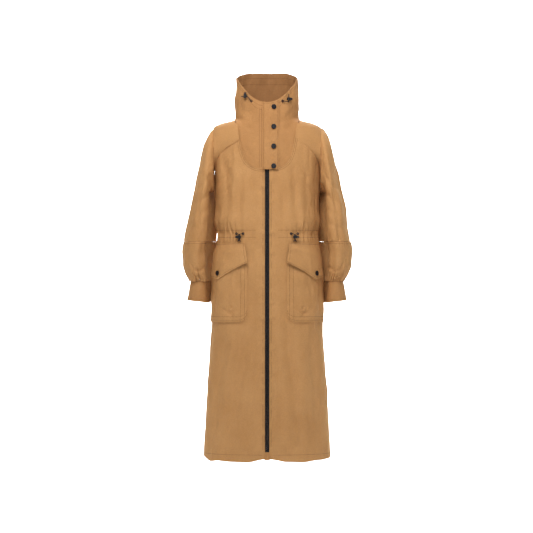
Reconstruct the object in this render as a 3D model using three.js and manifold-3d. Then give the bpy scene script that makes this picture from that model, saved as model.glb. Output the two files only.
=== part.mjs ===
// A long parka: funnel neck, sleeves gathered into cuffs, two-way zip under a snapped placket,
// flapped side pockets and drawcords with locks at the waist and neck.
// Millimetres. +X is the wearer's left, -Y is the front, +Z is up. Heights are counted from the hem
// while the coat is built, and the last lines put the origin under the top of the hanging loop.
import {
  BoxGeometry, BufferAttribute, CatmullRomCurve3, CylinderGeometry, ExtrudeGeometry, Group,
  LatheGeometry, Matrix4, Mesh, MeshStandardMaterial, Shape, Vector2, Vector3,
} from 'three';
import { mergeVertices } from 'three/addons/utils/BufferGeometryUtils.js';
import Module from 'manifold-3d';

const wasm = await Module();
wasm.setup();

// ---- cloth and gaps -------------------------------------------------------------------------
const clothThickness = 3;
const linerThickness = 1.6;
const layerGap = 1.2;
const linerGap = 1.5;
const seamGap = 0.7;
const touchGap = 0.35;

// ---- overall sizes --------------------------------------------------------------------------
const neckHeight = 1149;
const waistHeight = neckHeight - 387;
const frontRimHeight = neckHeight + 57;
const sideRimRise = 86;
const backRimRise = 106;
const hemFrontDepth = 165;
const rimFrontDepth = 92;
const rimCurve = 2;
const rimBackSpread = 60;
const facingFoot = neckHeight + 8;
const facingTopDrop = 2;

// One station per height of the body: half width, depth behind the side line, squareness.
const bodyStations = [
  { height: -40, halfWidth: 215.5, back: 171, square: 2.25 },
  { height: 0, halfWidth: 214, back: 168, square: 2.25 },
  { height: waistHeight * 0.2, halfWidth: 208, back: 156, square: 2.25 },
  { height: waistHeight * 0.43, halfWidth: 197, back: 143, square: 2.3 },
  { height: waistHeight * 0.59, halfWidth: 188, back: 135, square: 2.35 },
  { height: waistHeight - 142, halfWidth: 181, back: 124, square: 2.35 },
  { height: waistHeight - 62, halfWidth: 175, back: 110, square: 2.3 },
  { height: waistHeight - 7, halfWidth: 170, back: 102, square: 2.3 },
  { height: waistHeight + 88, halfWidth: 175, back: 110, square: 2.3 },
  { height: neckHeight - 199, halfWidth: 178, back: 121, square: 2.3 },
  { height: neckHeight - 99, halfWidth: 180, back: 122, square: 2.25 },
  { height: neckHeight - 54, halfWidth: 180, back: 113, square: 2.1 },
  { height: neckHeight - 29, halfWidth: 172, back: 104, square: 1.95 },
  { height: neckHeight - 14, halfWidth: 150, back: 97, square: 1.9 },
  { height: neckHeight - 3, halfWidth: 116, back: 90, square: 2.1 },
  { height: neckHeight + 5, halfWidth: 108, back: 86, square: 2.2 },
  { height: neckHeight + 60, halfWidth: 107, back: 82, square: 2.2 },
  { height: neckHeight + 160, halfWidth: 106, back: 79, square: 2.2 },
];

// ---- front edge, collar seam and zip ----------------------------------------------------------
const zipHalfOpening = 7.2;
const placketBottom = frontRimHeight - 228;
const armholeTop = neckHeight - 22;
const armholeBottom = armholeTop - 222;
const armholeSweep = 33;
// The seam under the collar panel runs from the placket's foot to the side of the neck.
const collarSeam = [
  [zipHalfOpening, placketBottom + 2], [44, placketBottom + 8], [68, placketBottom + 25],
  [81, placketBottom + 50], [93, placketBottom + 108], [100, armholeTop], [104, neckHeight - 6],
];
const stepsPerSeamSpan = 2;

const zipBottom = 30;
const zipTop = frontRimHeight - 4;
const zipTapeHalf = 13;
const zipTapeThickness = 1.2;
const zipCoilHalf = 3.2;
const zipCoilThickness = 2;
const zipMeetGap = 0.6;
const zipClearance = 1.4;
const sliderLength = 13;
const sliderHalfWidth = 4.6;
const sliderPlate = 1.3;
const sliderGap = 0.35;
const lowerSliderHeight = 40;
const upperSliderHeight = frontRimHeight - 34;
const pullPinRadius = 0.9;
const pullNeckHalf = 1.3;
const pullNeckLength = 4;
const pullTabWidth = 18;
const pullTabLength = 26;
const pullTabThickness = 2;
const upperPullWidth = 6;
const upperPullLength = 22;
const upperPullThickness = 1.5;
const earThickness = 1.2;
const earMargin = 1;
const pullPinRoom = 0.6;
const pullTabClearance = 0.15;
const weldDepth = 0.5;

// ---- placket flap and snaps -------------------------------------------------------------------
const flapHingeX = -16;
const flapFreeX = 38;
const flapLift = 3.4;
const flapThickness = 2.6;
const flapFoldWidth = 9;
const flapFootLift = touchGap + 0.3;
const flapTopDrop = 1.5;
const snapX = 22;
const snapTopHeight = frontRimHeight - 17;
const snapPitch = 66.5;
const snapCount = 4;
const snapRadius = 8.5;
const snapCapHeight = 2.2;
const studRadius = 5;
const studKnobRadius = 3;
const studPlate = 0.8;
const studHeight = 2.2;

// ---- pockets ----------------------------------------------------------------------------------
const pocketFlapTop = waistHeight - 30;
const pocketInnerX = 66;
const pocketTop = pocketFlapTop - 42;
const pocketBottom = pocketTop - 226;
const pocketCorner = 26;
const pocketThickness = 3;
const pocketOuterAngle = 97;
const hipRadius = 150;
const pocketFlapTopX = 75;
const pocketFlapInnerX = 63;
const pocketFlapInnerDrop = 67;
const pocketFlapPointDrop = 124;
const pocketFlapOuterDrop = 116;
const pocketFlapOuterAngle = 70;
const pocketFlapThickness = 2.2;
const pocketFlapLift = 7.4;
const pocketFlapHingeLift = touchGap + 1.1;
const pocketFlapRoll = 0.36;
const pocketFlapPointShare = 0.6;
const pocketSnapX = 158;
const pocketSnapHeight = pocketFlapTop - 103;

// ---- drawcords --------------------------------------------------------------------------------
const cordRadius = 1.3;
const cordSpacing = 3.2;
const cordRoom = 0.5;
const cordLead = 3.2;
const cordRise = 2.4;
const cordSides = 8;
const eyeletRadius = 4.6;
const eyeletHole = 2.1;
const eyeletThickness = 1.2;
const waistEyeletInner = 80;
const waistEyeletOuter = 102;
const collarEyeletX = 52;
const collarEyeletHeight = frontRimHeight + 3;
const lockRadius = 5.2;
const lockLength = 14;
const lockLift = lockRadius + 2.6;
const buttonHeadRadius = 4.2;
const buttonHeadHeight = 2.4;
const buttonStemRadius = 2.2;
const buttonHoleDepth = 4.2;
const buttonTravel = 2;
const buttonEdge = 0.8;
const stemRoom = 0.3;
const lockSlotShift = 1.2;
const casingHalfHeight = 12;
const waistLockHeight = waistHeight - 11;
const lockTravel = 4;
const waistTail = 2;
const collarTail = 4;
const tailSplay = 2.4;
const tailSpread = 1.3;
const rightCollarLockX = 70;
const leftCollarLockX = 69;

// ---- sleeves ----------------------------------------------------------------------------------
const sleeveThickness = 2.6;
const headLift = 1.5;
const headLap = 3;
const headSweep = armholeSweep + 1.5;
const elbowGap = 0.02;
const elbowStation = 8;
// Inner and outer side of the sleeve in the front view as distance from the centre and drop below
// the neck, then half depth and how far forward it hangs.
const sleeveStations = [
  { inner: [181, 243], outer: [181, 27], halfDepth: 66, forward: -4 },
  { inner: [185, 244], outer: [192, 37], halfDepth: 76, forward: -2 },
  { inner: [187, 246], outer: [208, 66], halfDepth: 82, forward: 0 },
  { inner: [188, 249], outer: [223, 114], halfDepth: 85, forward: 2 },
  { inner: [188, 256], outer: [236, 174], halfDepth: 86, forward: 4 },
  { inner: [187, 269], outer: [247, 231], halfDepth: 86, forward: 6 },
  { inner: [186, 299], outer: [260, 287], halfDepth: 84, forward: 8 },
  { inner: [186, 354], outer: [272, 354], halfDepth: 83, forward: 10 },
  { inner: [190, 412], outer: [282, 412], halfDepth: 82, forward: 12 },
  { inner: [194, 449], outer: [288, 454], halfDepth: 82, forward: 13 },
  { inner: [196, 484], outer: [288, 489], halfDepth: 79, forward: 14 },
  { inner: [198, 517], outer: [277, 519], halfDepth: 68, forward: 15 },
  { inner: [199, 537], outer: [264, 537], halfDepth: 56, forward: 16 },
  { inner: [200, 547], outer: [259, 545], halfDepth: 49, forward: 16 },
];
const cuffThickness = 3.4;
const cuffDrop = 66;
const cuffBottomOuter = 270;
const cuffBottomInner = 196;
const cuffHalfDepth = 52;
const cuffSlant = 6;
const cuffInset = 1;

// ---- hanging loop -----------------------------------------------------------------------------
const loopWidth = 64;
const loopRise = 26;
const loopBand = 5;
const loopThickness = 1.8;
const loopHeight = neckHeight + 18;

// ---- colours ----------------------------------------------------------------------------------
const camel = cloth(0xb98449);
const camelTrim = cloth(0xae7a42);
const lining = cloth(0x6e4526);
const blackCord = cloth(0x17161a);
const blackTape = cloth(0x1c1b1f);
const blackPlastic = new MeshStandardMaterial({ color: 0x121214, roughness: 0.4, metalness: 0 });
const blackMetal = new MeshStandardMaterial({ color: 0x19191c, roughness: 0.32, metalness: 0.7 });

function cloth(color) {
  return new MeshStandardMaterial({ color, roughness: 0.85, metalness: 0 });
}

// ---- shared maths -----------------------------------------------------------------------------
const degree = Math.PI / 180;
const mix = (from, to, share) => from + (to - from) * share;
const clamp01 = (value) => Math.min(1, Math.max(0, value));
const ease = (share) => clamp01(share) ** 2 * (3 - 2 * clamp01(share));

// Smooth curve through hand-set values: cubic with slopes limited so that it never overshoots.
function smoothThrough(keys, values) {
  const slopes = keys.map((key, i) => {
    if (i === 0 || i === keys.length - 1) return 0;
    const before = (values[i] - values[i - 1]) / (key - keys[i - 1]);
    const after = (values[i + 1] - values[i]) / (keys[i + 1] - key);
    return before * after <= 0 ? 0 : 2 * before * after / (before + after);
  });
  return (key) => {
    const at = Math.min(keys[keys.length - 1], Math.max(keys[0], key));
    let i = 0;
    while (i < keys.length - 2 && at > keys[i + 1]) i += 1;
    const span = keys[i + 1] - keys[i];
    const t = (at - keys[i]) / span;
    const rise = values[i + 1] - values[i];
    const a = slopes[i] * span;
    const b = slopes[i + 1] * span;
    return values[i] + t * (a + t * (3 * rise - 2 * a - b + t * (a + b - 2 * rise)));
  };
}

const stationHeights = bodyStations.map((station) => station.height);
const halfWidthAt = smoothThrough(stationHeights, bodyStations.map((station) => station.halfWidth));
const backAt = smoothThrough(stationHeights, bodyStations.map((station) => station.back));
const squareAt = smoothThrough(stationHeights, bodyStations.map((station) => station.square));

// The front edge is a straight line that leans forward towards the hem, so the zip runs straight.
const frontLean = (hemFrontDepth - rimFrontDepth) / frontRimHeight;
const frontAt = (height) => hemFrontDepth - frontLean * height;

// A point of the body at an angle from the centre front, 90 at the wearer's left side.
function skin(angle, height) {
  const power = 2 / squareAt(height);
  const s = Math.sin(angle * degree);
  const c = Math.cos(angle * degree);
  const depth = c > 0 ? frontAt(height) : backAt(height);
  const x = Math.sign(s) * Math.abs(s) ** power * halfWidthAt(height);
  const y = -Math.sign(c) * Math.abs(c) ** power * depth;
  return new Vector3(x, y, height);
}

function skinNormal(angle, height) {
  const around = skin(angle + 1, height).sub(skin(angle - 1, height));
  const up = skin(angle, height + 1.5).sub(skin(angle, height - 1.5));
  return around.cross(up).normalize();
}

// The same point pushed out of the cloth by an offset, or into it by a negative one.
const bodyPoint = (angle, height, offset) =>
  skin(angle, height).addScaledVector(skinNormal(angle, height), offset);

// The angle at which the front of the body is a given distance from the centre.
function angleAtX(x, height) {
  const share = Math.min(1, Math.abs(x) / halfWidthAt(height));
  return Math.sign(x) * Math.asin(share ** (squareAt(height) / 2)) / degree;
}

const frontPoint = (x, height, offset) => bodyPoint(angleAtX(x, height), height, offset);

// ---- making solids ----------------------------------------------------------------------------
function bare(geometry) {
  geometry.deleteAttribute('normal');
  geometry.deleteAttribute('uv');
  return mergeVertices(geometry, 1e-3);
}

// Moves every corner of a closed grid and turns the faces outward if the move mirrored them.
function reshaped(geometry, move) {
  const position = geometry.attributes.position;
  const corner = new Vector3();
  for (let i = 0; i < position.count; i += 1) {
    corner.copy(move(position.getX(i), position.getY(i), position.getZ(i)));
    position.setXYZ(i, corner.x, corner.y, corner.z);
  }
  if (signedVolume(geometry) < 0) geometry.index.array.reverse();
  return geometry;
}

function signedVolume(geometry) {
  const [a, b, c] = [new Vector3(), new Vector3(), new Vector3()];
  const index = geometry.index.array;
  let sum = 0;
  for (let i = 0; i < index.length; i += 3) {
    a.fromBufferAttribute(geometry.attributes.position, index[i]);
    b.fromBufferAttribute(geometry.attributes.position, index[i + 1]);
    c.fromBufferAttribute(geometry.attributes.position, index[i + 2]);
    sum += a.dot(b.cross(c));
  }
  return sum;
}

// A closed sheet: place(u, v, w) puts its corners, u and v across it and w through its thickness.
function slab(columns, rows, place) {
  const grid = bare(new BoxGeometry(1, 1, 1, columns, rows, 1));
  return reshaped(grid, (x, y, z) => place(x + 0.5, y + 0.5, z + 0.5));
}

// A closed tube wall: place(turn, v, w), with turn in degrees around it and v along it.
function sleeveWall(sides, rows, place) {
  const outline = [];
  for (let i = 0; i <= rows; i += 1) outline.push(new Vector2(2, i / rows));
  for (let i = rows; i >= 0; i -= 1) outline.push(new Vector2(1, i / rows));
  outline.push(outline[0].clone());
  const ring = bare(new LatheGeometry(outline, sides));
  return reshaped(ring, (x, y, z) => place(Math.atan2(x, z) / degree, y, Math.hypot(x, z) - 1));
}

// A prism of an outline in x and outward offset, running down the straight front edge.
function frontPrism(outline, length) {
  const shape = new Shape(outline.map(([x, offset]) => new Vector2(x, offset)));
  return new ExtrudeGeometry(shape, { depth: length, bevelEnabled: false });
}

function toSolid(geometry) {
  const closed = bare(geometry.clone());
  const vertProperties = Float32Array.from(closed.attributes.position.array);
  const triVerts = Uint32Array.from(closed.index.array);
  return new wasm.Manifold(new wasm.Mesh({ numProp: 3, vertProperties, triVerts }));
}

function fromSolid(solid) {
  const mesh = solid.getMesh();
  const geometry = new BoxGeometry();
  geometry.deleteAttribute('normal');
  geometry.deleteAttribute('uv');
  geometry.clearGroups();
  geometry.setAttribute('position', new BufferAttribute(mesh.vertProperties, 3));
  geometry.setIndex(new BufferAttribute(mesh.triVerts, 1));
  return geometry;
}

const coat = new Group();

function add(name, geometry, material, parent = coat) {
  const mesh = new Mesh(geometry, material);
  mesh.name = name;
  parent.add(mesh);
  return mesh;
}

const up = new Vector3(0, 1, 0);

// Stands a piece whose own axis is Y on the cloth, along the cloth's outward normal.
function seat(mesh, x, height, offset) {
  const angle = angleAtX(x, height);
  mesh.position.copy(bodyPoint(angle, height, offset));
  mesh.quaternion.setFromUnitVectors(up, skinNormal(angle, height));
  return mesh;
}

// The frame of the centre front: X across, Y out of the cloth, Z down the edge.
function seatOnEdge(mesh, height, offset = 0) {
  const down = new Vector3(0, -frontLean, -1).normalize();
  const out = new Vector3(0, -1, frontLean).normalize();
  const basis = new Matrix4().makeBasis(new Vector3(1, 0, 0), out, down);
  mesh.quaternion.setFromRotationMatrix(basis);
  mesh.position.set(0, -frontAt(height), height).addScaledVector(out, offset);
  return mesh;
}

const sides = [['right', -1], ['left', 1]];

// ---- body panels ------------------------------------------------------------------------------
const seamNodes = new CatmullRomCurve3(
  collarSeam.map(([x, height]) => new Vector3(x, height, 0)), false, 'centripetal',
).getPoints((collarSeam.length - 1) * stepsPerSeamSpan);

function ladder(stops) {
  const rungs = [stops[0][0]];
  for (let i = 1; i < stops.length; i += 1) {
    const [height, count] = stops[i];
    for (let k = 1; k <= count; k += 1) rungs.push(mix(stops[i - 1][0], height, k / count));
  }
  return rungs;
}

const lowerRows = ladder([[0, 0], [waistHeight, 9], [armholeBottom, 3], [collarSeam[0][1] - 6, 2]]);
const sideSeamAngle = 0.25;

// How far the armhole's edge is swept from the side line at a height, in degrees.
function armholeReach(height, grow = 0) {
  const middle = (armholeTop + armholeBottom) / 2;
  const half = (armholeTop - armholeBottom) / 2 + grow;
  const share = (height - middle) / half;
  const reach = Math.abs(share) < 1 ? armholeSweep * Math.sqrt(1 - share * share) : 0;
  return Math.max(sideSeamAngle, reach);
}

function frontPanel(side) {
  const rows = [
    ...lowerRows.map((height) => ({ x: zipHalfOpening, height })),
    ...seamNodes.map((node) => ({ x: node.x, height: node.y })),
  ];
  return slab(10, rows.length - 1, (u, v, w) => {
    const row = rows[Math.round(v * (rows.length - 1))];
    const inner = angleAtX(row.x, row.height);
    const outer = 90 - armholeReach(row.height);
    return bodyPoint(side * mix(inner, outer, u), row.height, (w - 1) * clothThickness);
  });
}

function backPanel() {
  const shoulderRows = seamNodes.slice(1).map((node) => node.y);
  const rows = [...lowerRows, ...shoulderRows, neckHeight - seamGap / 2];
  return slab(14, rows.length - 1, (u, v, w) => {
    const height = rows[Math.round(v * (rows.length - 1))];
    const start = 90 + armholeReach(height);
    return bodyPoint(mix(start, 360 - start, u), height, (w - 1) * clothThickness);
  });
}

// ---- collar -----------------------------------------------------------------------------------
// Height of the funnel neck's edge: it dips to the centre front and rises towards the back.
function rimHeight(angle) {
  const turn = Math.abs(angle > 180 ? angle - 360 : angle);
  if (turn < 90) {
    const share = Math.sin(turn * degree) ** (2 / squareAt(frontRimHeight));
    return frontRimHeight + sideRimRise * share ** rimCurve;
  }
  return frontRimHeight + mix(sideRimRise, backRimRise, ease((turn - 90) / rimBackSpread));
}

const rimAtX = (x) => rimHeight(Math.abs(angleAtX(x, neckHeight + 30)));

function collarColumns() {
  const half = seamNodes.map((node) => {
    const x = Math.max(zipHalfOpening, node.x - seamGap);
    const bottom = node.y + seamGap;
    return { place: (height, offset) => frontPoint(x, height, offset), bottom, top: rimAtX(x) };
  });
  for (const angle of [82, 90, 102, 115, 130, 145, 160]) {
    half.push(neckColumn(angle));
  }
  const mirrored = half.map((column) => ({
    ...column,
    place: (height, offset) => column.place(height, offset).multiply(new Vector3(-1, 1, 1)),
  }));
  return [...half, neckColumn(180), ...mirrored.reverse()];
}

function neckColumn(angle) {
  const place = (height, offset) => bodyPoint(angle, height, offset);
  return { place, bottom: neckHeight + seamGap / 2, top: rimHeight(angle) };
}

function collar() {
  const columns = collarColumns();
  return slab(columns.length - 1, 6, (u, v, w) => {
    const column = columns[Math.round(u * (columns.length - 1))];
    return column.place(mix(column.bottom, column.top, v), (w - 1) * clothThickness);
  });
}

const linerOffset = -(clothThickness + linerGap + linerThickness);
const facingEdgeX = zipTapeHalf + 4;

function collarFacing() {
  const start = angleAtX(facingEdgeX, neckHeight + 30);
  return slab(24, 5, (u, v, w) => {
    const angle = mix(start, 360 - start, u);
    const height = mix(facingFoot, rimHeight(angle) - facingTopDrop, v);
    return bodyPoint(angle, height, linerOffset + w * linerThickness);
  });
}

function waistCasing() {
  const start = angleAtX(facingEdgeX + 6, waistHeight);
  return slab(30, 1, (u, v, w) => {
    const height = waistHeight + (v * 2 - 1) * casingHalfHeight;
    return bodyPoint(mix(start, 360 - start, u), height, linerOffset + w * linerThickness);
  });
}

// ---- zip --------------------------------------------------------------------------------------
const zipDepth = clothThickness + zipClearance;
const zipSlope = Math.hypot(1, frontLean);

function zipHalf(side) {
  const near = zipMeetGap * side;
  const coil = zipCoilHalf * side;
  const edge = zipTapeHalf * side;
  const back = -zipDepth - zipTapeThickness;
  const face = -zipDepth + zipCoilThickness;
  const tape = [[near, back], [edge, back], [edge, -zipDepth]];
  const teeth = [[coil, -zipDepth], [coil, face], [near, face]];
  return frontPrism([...tape, ...teeth], (zipTop - zipBottom) * zipSlope);
}

// Box laid on the front edge's frame, from a lowest to a highest corner.
function edgeBox(low, high) {
  const box = new BoxGeometry(high[0] - low[0], high[1] - low[1], high[2] - low[2]);
  return box.translate((low[0] + high[0]) / 2, (low[1] + high[1]) / 2, (low[2] + high[2]) / 2);
}

const coilFace = -zipDepth + zipCoilThickness;
const sliderFace = coilFace + sliderGap + sliderPlate;
// The pull's tab hangs just clear of the cloth however deep the slider sits.
const pullPivotLift = pullTabClearance + pullPinRoom;

// Two plates joined by a thin web that runs between the two halves of the zip.
function sliderBody() {
  const front = coilFace + sliderGap;
  const back = -zipDepth - zipTapeThickness - sliderGap;
  const web = zipMeetGap - sliderGap / 2;
  const w = sliderHalfWidth;
  return toSolid(frontPrism([
    [-w, back - sliderPlate], [w, back - sliderPlate], [w, back], [web, back],
    [web, front], [w, front], [w, sliderFace], [-w, sliderFace],
    [-w, front], [-web, front], [-web, back], [-w, back],
  ], sliderLength));
}

const earInner = pullNeckHalf + sliderGap;
const earLength = 2 * (pullPinRadius + earMargin);
const pivotDown = 5;

function lowerSlider() {
  const ears = [-1, 1].map((side) => {
    const middle = side * (earInner + earThickness / 2);
    const top = pullPivotLift + pullPinRadius;
    return toSolid(edgeBox(
      [middle - earThickness / 2, sliderFace - weldDepth, pivotDown - earLength / 2],
      [middle + earThickness / 2, top, pivotDown + earLength / 2],
    ));
  });
  return fromSolid(sliderBody().add(ears[0]).add(ears[1]));
}

// The upper slider's small pull lies flat under the placket and stays on its slider.
function upperSlider() {
  const tab = edgeBox(
    [-upperPullWidth / 2, sliderFace - weldDepth, pivotDown],
    [upperPullWidth / 2, sliderFace + upperPullThickness, pivotDown + upperPullLength],
  );
  return fromSolid(sliderBody().add(toSolid(tab)));
}

// A pin that turns between the slider's ears, a neck and a stitched cloth tab.
function lowerPull() {
  const pin = new CylinderGeometry(pullPinRadius, pullPinRadius, 2 * pullNeckHalf, 12);
  pin.rotateZ(90 * degree);
  const low = -pullPinRoom;
  const neck = edgeBox([-pullNeckHalf, low, 0], [pullNeckHalf, pullPinRoom, pullNeckLength + weldDepth]);
  const tab = edgeBox(
    [-pullTabWidth / 2, low, pullNeckLength],
    [pullTabWidth / 2, low + pullTabThickness, pullNeckLength + pullTabLength],
  );
  return fromSolid(toSolid(pin).add(toSolid(neck)).add(toSolid(tab)));
}

// ---- placket flap and snaps -------------------------------------------------------------------
function placketFlap() {
  const folded = [0, 3, 6].map((column) => column * flapFoldWidth / 9);
  const flat = [0, 0.2, 0.42, 0.6, 0.78, 1];
  const columns = [...folded, ...flat.map((share) => mix(flapFoldWidth, flapFreeX - flapHingeX, share))];
  return slab(columns.length - 1, 10, (u, v, w) => {
    const across = columns[Math.round(u * (columns.length - 1))];
    const x = flapHingeX + across;
    const height = mix(placketBottom, rimAtX(x) - flapTopDrop, v);
    const lift = mix(flapFootLift, flapLift, ease(across / flapFoldWidth));
    return frontPoint(x, height, lift + w * flapThickness);
  });
}

function turned(profile, segments = 16) {
  return new LatheGeometry(profile.map(([radius, height]) => new Vector2(radius, height)), segments);
}

const snapCap = () => turned([
  [0, 0], [snapRadius, 0], [snapRadius, snapCapHeight * 0.45], [snapRadius * 0.8, snapCapHeight * 0.85],
  [snapRadius * 0.4, snapCapHeight], [0, snapCapHeight],
]);

const snapStud = () => turned([
  [0, 0], [studRadius, 0], [studRadius, studPlate], [studKnobRadius, studPlate],
  [studKnobRadius, studHeight], [0, studHeight],
], 10);

// ---- pockets ----------------------------------------------------------------------------------
function pocketBag(side) {
  return slab(12, 7, (u, v, w) => {
    const fromInner = u * (pocketOuterAngle * degree * hipRadius - pocketInnerX);
    const inCorner = Math.max(0, 1 - fromInner / pocketCorner);
    const bottom = pocketBottom + pocketCorner * (1 - Math.sqrt(1 - inCorner * inCorner));
    const height = mix(bottom, pocketTop, v);
    const angle = mix(angleAtX(pocketInnerX, height), pocketOuterAngle, u);
    return bodyPoint(side * angle, height, layerGap + w * pocketThickness);
  });
}

function pocketFlapDrop(u) {
  const point = pocketFlapPointShare;
  if (u < point) return mix(pocketFlapInnerDrop, pocketFlapPointDrop, u / point);
  return mix(pocketFlapPointDrop, pocketFlapOuterDrop, (u - point) / (1 - point));
}

function pocketFlap(side) {
  return slab(10, 8, (u, v, w) => {
    const height = pocketFlapTop - v * pocketFlapDrop(u);
    const inner = angleAtX(mix(pocketFlapTopX, pocketFlapInnerX, v), height);
    const lift = mix(pocketFlapHingeLift, pocketFlapLift, ease(v / pocketFlapRoll));
    const angle = mix(inner, pocketFlapOuterAngle, u);
    return bodyPoint(side * angle, height, lift + w * pocketFlapThickness);
  });
}

// ---- drawcords --------------------------------------------------------------------------------
const eyelet = () => turned([
  [eyeletHole, 0], [eyeletRadius, 0], [eyeletRadius, eyeletThickness * 0.5],
  [eyeletRadius - 0.8, eyeletThickness], [eyeletHole, eyeletThickness], [eyeletHole, 0],
], 12);

function cord(points) {
  const route = new CatmullRomCurve3(points, false, 'centripetal');
  const section = [];
  for (let i = 0; i < cordSides; i += 1) {
    const turn = i * 360 / cordSides * degree;
    section.push(new Vector2(Math.cos(turn) * cordRadius, Math.sin(turn) * cordRadius));
  }
  const settings = { steps: 16, extrudePath: route, bevelEnabled: false };
  return new ExtrudeGeometry(new Shape(section), settings);
}

// Barrel along Y with a slot through it along X for the cords and a hole for the button's stem.
function lockBarrel(cordCount) {
  const barrel = new CylinderGeometry(lockRadius, lockRadius, lockLength, 16);
  const room = 2 * (cordRadius + cordRoom);
  const slotLength = room + (cordCount - 1) * cordSpacing;
  const slot = new BoxGeometry(4 * lockRadius, slotLength, room);
  slot.translate(0, -lockSlotShift, 0);
  const holeRadius = buttonStemRadius + stemRoom;
  const hole = new CylinderGeometry(holeRadius, holeRadius, buttonHoleDepth * 2, 14);
  hole.translate(0, lockLength / 2, 0);
  return fromSolid(toSolid(barrel).subtract(toSolid(slot)).subtract(toSolid(hole)));
}

function lockButton() {
  const headFoot = buttonTravel + touchGap;
  const stemFoot = buttonTravel + touchGap - buttonHoleDepth;
  const headTop = headFoot + buttonHeadHeight;
  const profile = [
    [0, stemFoot], [buttonStemRadius, stemFoot], [buttonStemRadius, headFoot],
    [buttonHeadRadius, headFoot], [buttonHeadRadius, headTop - buttonEdge],
    [buttonHeadRadius - buttonEdge, headTop], [0, headTop],
  ];
  return turned(profile.map(([radius, height]) => [radius, height + lockLength / 2]), 12);
}

// Where a lock lies: its barrel along X or up the cloth, and the way its cords run through it.
function lockFrame(x, height, barrelUp, runTowards) {
  const angle = angleAtX(x, height);
  const normal = skinNormal(angle, height);
  const upward = new Vector3(0, 0, 1).addScaledVector(normal, -normal.z).normalize();
  const sideways = Math.sign(x);
  const outward = new Vector3(sideways, 0, 0).addScaledVector(normal, -sideways * normal.x).normalize();
  const barrel = barrelUp ? upward : outward;
  const across = barrel.clone().cross(normal);
  const run = across.dot(runTowards) < 0 ? across.clone().negate() : across;
  return { middle: bodyPoint(angle, height, lockLift), normal, barrel, across, run };
}

function addLock(name, frame, cordCount) {
  const holder = new Group();
  const basis = new Matrix4().makeBasis(frame.across, frame.barrel, frame.normal);
  holder.quaternion.setFromRotationMatrix(basis);
  holder.position.copy(frame.middle).addScaledVector(frame.barrel, lockSlotShift);
  add(`${name}_lock`, lockBarrel(cordCount), blackPlastic, holder);
  add(`${name}_lock_button`, lockButton(), blackPlastic, holder);
  coat.add(holder);
}

// Out of the eyelet, straight through the lock and on to a free end that turns aside.
function cordRoute(x, height, frame, aside, tail) {
  const through = (distance, spread = 1) => frame.middle.clone()
    .addScaledVector(frame.run, distance).addScaledVector(frame.barrel, aside * spread);
  const lead = lockRadius + cordLead;
  const beyond = lead + lockTravel;
  return [
    frontPoint(x, height, eyeletThickness / 2),
    frontPoint(x, height, eyeletThickness + cordRise),
    ...[-lead, -lockRadius, 0, lockRadius].map((distance) => through(distance)),
    through(beyond, tailSpread),
    through(beyond + tail, 1 + tailSplay).sub(frame.normal),
  ];
}

// ---- sleeves ----------------------------------------------------------------------------------
const stationIndex = sleeveStations.map((station, i) => i);
const sleeveValue = (pick) => smoothThrough(stationIndex, sleeveStations.map(pick));
const innerX = sleeveValue((station) => station.inner[0]);
const innerHeight = sleeveValue((station) => neckHeight - station.inner[1]);
const outerX = sleeveValue((station) => station.outer[0]);
const outerHeight = sleeveValue((station) => neckHeight - station.outer[1]);
const sleeveDepth = sleeveValue((station) => station.halfDepth);
const sleeveForward = sleeveValue((station) => station.forward);

// A point of an oval whose ends are given in the front view.
function ovalPoint(side, turn, inner, outer, halfDepth, forward, thickness) {
  const middle = [(inner[0] + outer[0]) / 2, (inner[1] + outer[1]) / 2];
  const reach = [(outer[0] - inner[0]) / 2, (outer[1] - inner[1]) / 2];
  const shrink = 1 - thickness / Math.hypot(...reach);
  const c = Math.cos(turn * degree) * shrink;
  const s = Math.sin(turn * degree);
  const y = -forward - s * (halfDepth - thickness);
  return new Vector3(side * (middle[0] + reach[0] * c), y, middle[1] + reach[1] * c);
}

function sleevePoint(side, turn, station, thickness) {
  const inner = [innerX(station), innerHeight(station)];
  const outer = [outerX(station), outerHeight(station)];
  const depth = sleeveDepth(station);
  return ovalPoint(side, turn, inner, outer, depth, sleeveForward(station), thickness);
}

// The sleeve's head laps over the edge of the armhole, just clear of the panels.
function sleeveHead(side, turn, lift) {
  const middle = (armholeTop + armholeBottom) / 2;
  const half = (armholeTop - armholeBottom) / 2 + headLap;
  const height = middle + half * Math.cos(turn * degree);
  const angle = 90 - headSweep * Math.sin(turn * degree);
  return bodyPoint(side * angle, height, lift);
}

function upperSleeve(side) {
  const stations = [-1, 0, 1, 2, 3, 4, 5, 6, 7, elbowStation];
  return sleeveWall(20, stations.length - 1, (turn, v, w) => {
    const station = stations[Math.round(v * (stations.length - 1))];
    if (station < 0) return sleeveHead(side, turn, headLift + w * sleeveThickness);
    return sleevePoint(side, turn, station, (1 - w) * sleeveThickness);
  });
}

function lowerSleeve(side) {
  const last = sleeveStations.length - 1;
  return sleeveWall(20, 6, (turn, v, w) =>
    sleevePoint(side, turn, mix(elbowStation + elbowGap, last, v), (1 - w) * sleeveThickness));
}

function cuff(side) {
  const top = sleeveStations[sleeveStations.length - 1];
  return sleeveWall(20, 2, (turn, v, w) => {
    const drop = seamGap + v * cuffDrop;
    const innerEnd = neckHeight - top.inner[1] - drop - v * cuffSlant;
    const inner = [mix(top.inner[0] + cuffInset, cuffBottomInner, v), innerEnd];
    const outer = [mix(top.outer[0] - cuffInset, cuffBottomOuter, v), neckHeight - top.outer[1] - drop];
    const depth = mix(top.halfDepth - cuffInset, cuffHalfDepth, v);
    return ovalPoint(side, turn, inner, outer, depth, top.forward, (1 - w) * cuffThickness);
  });
}

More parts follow.
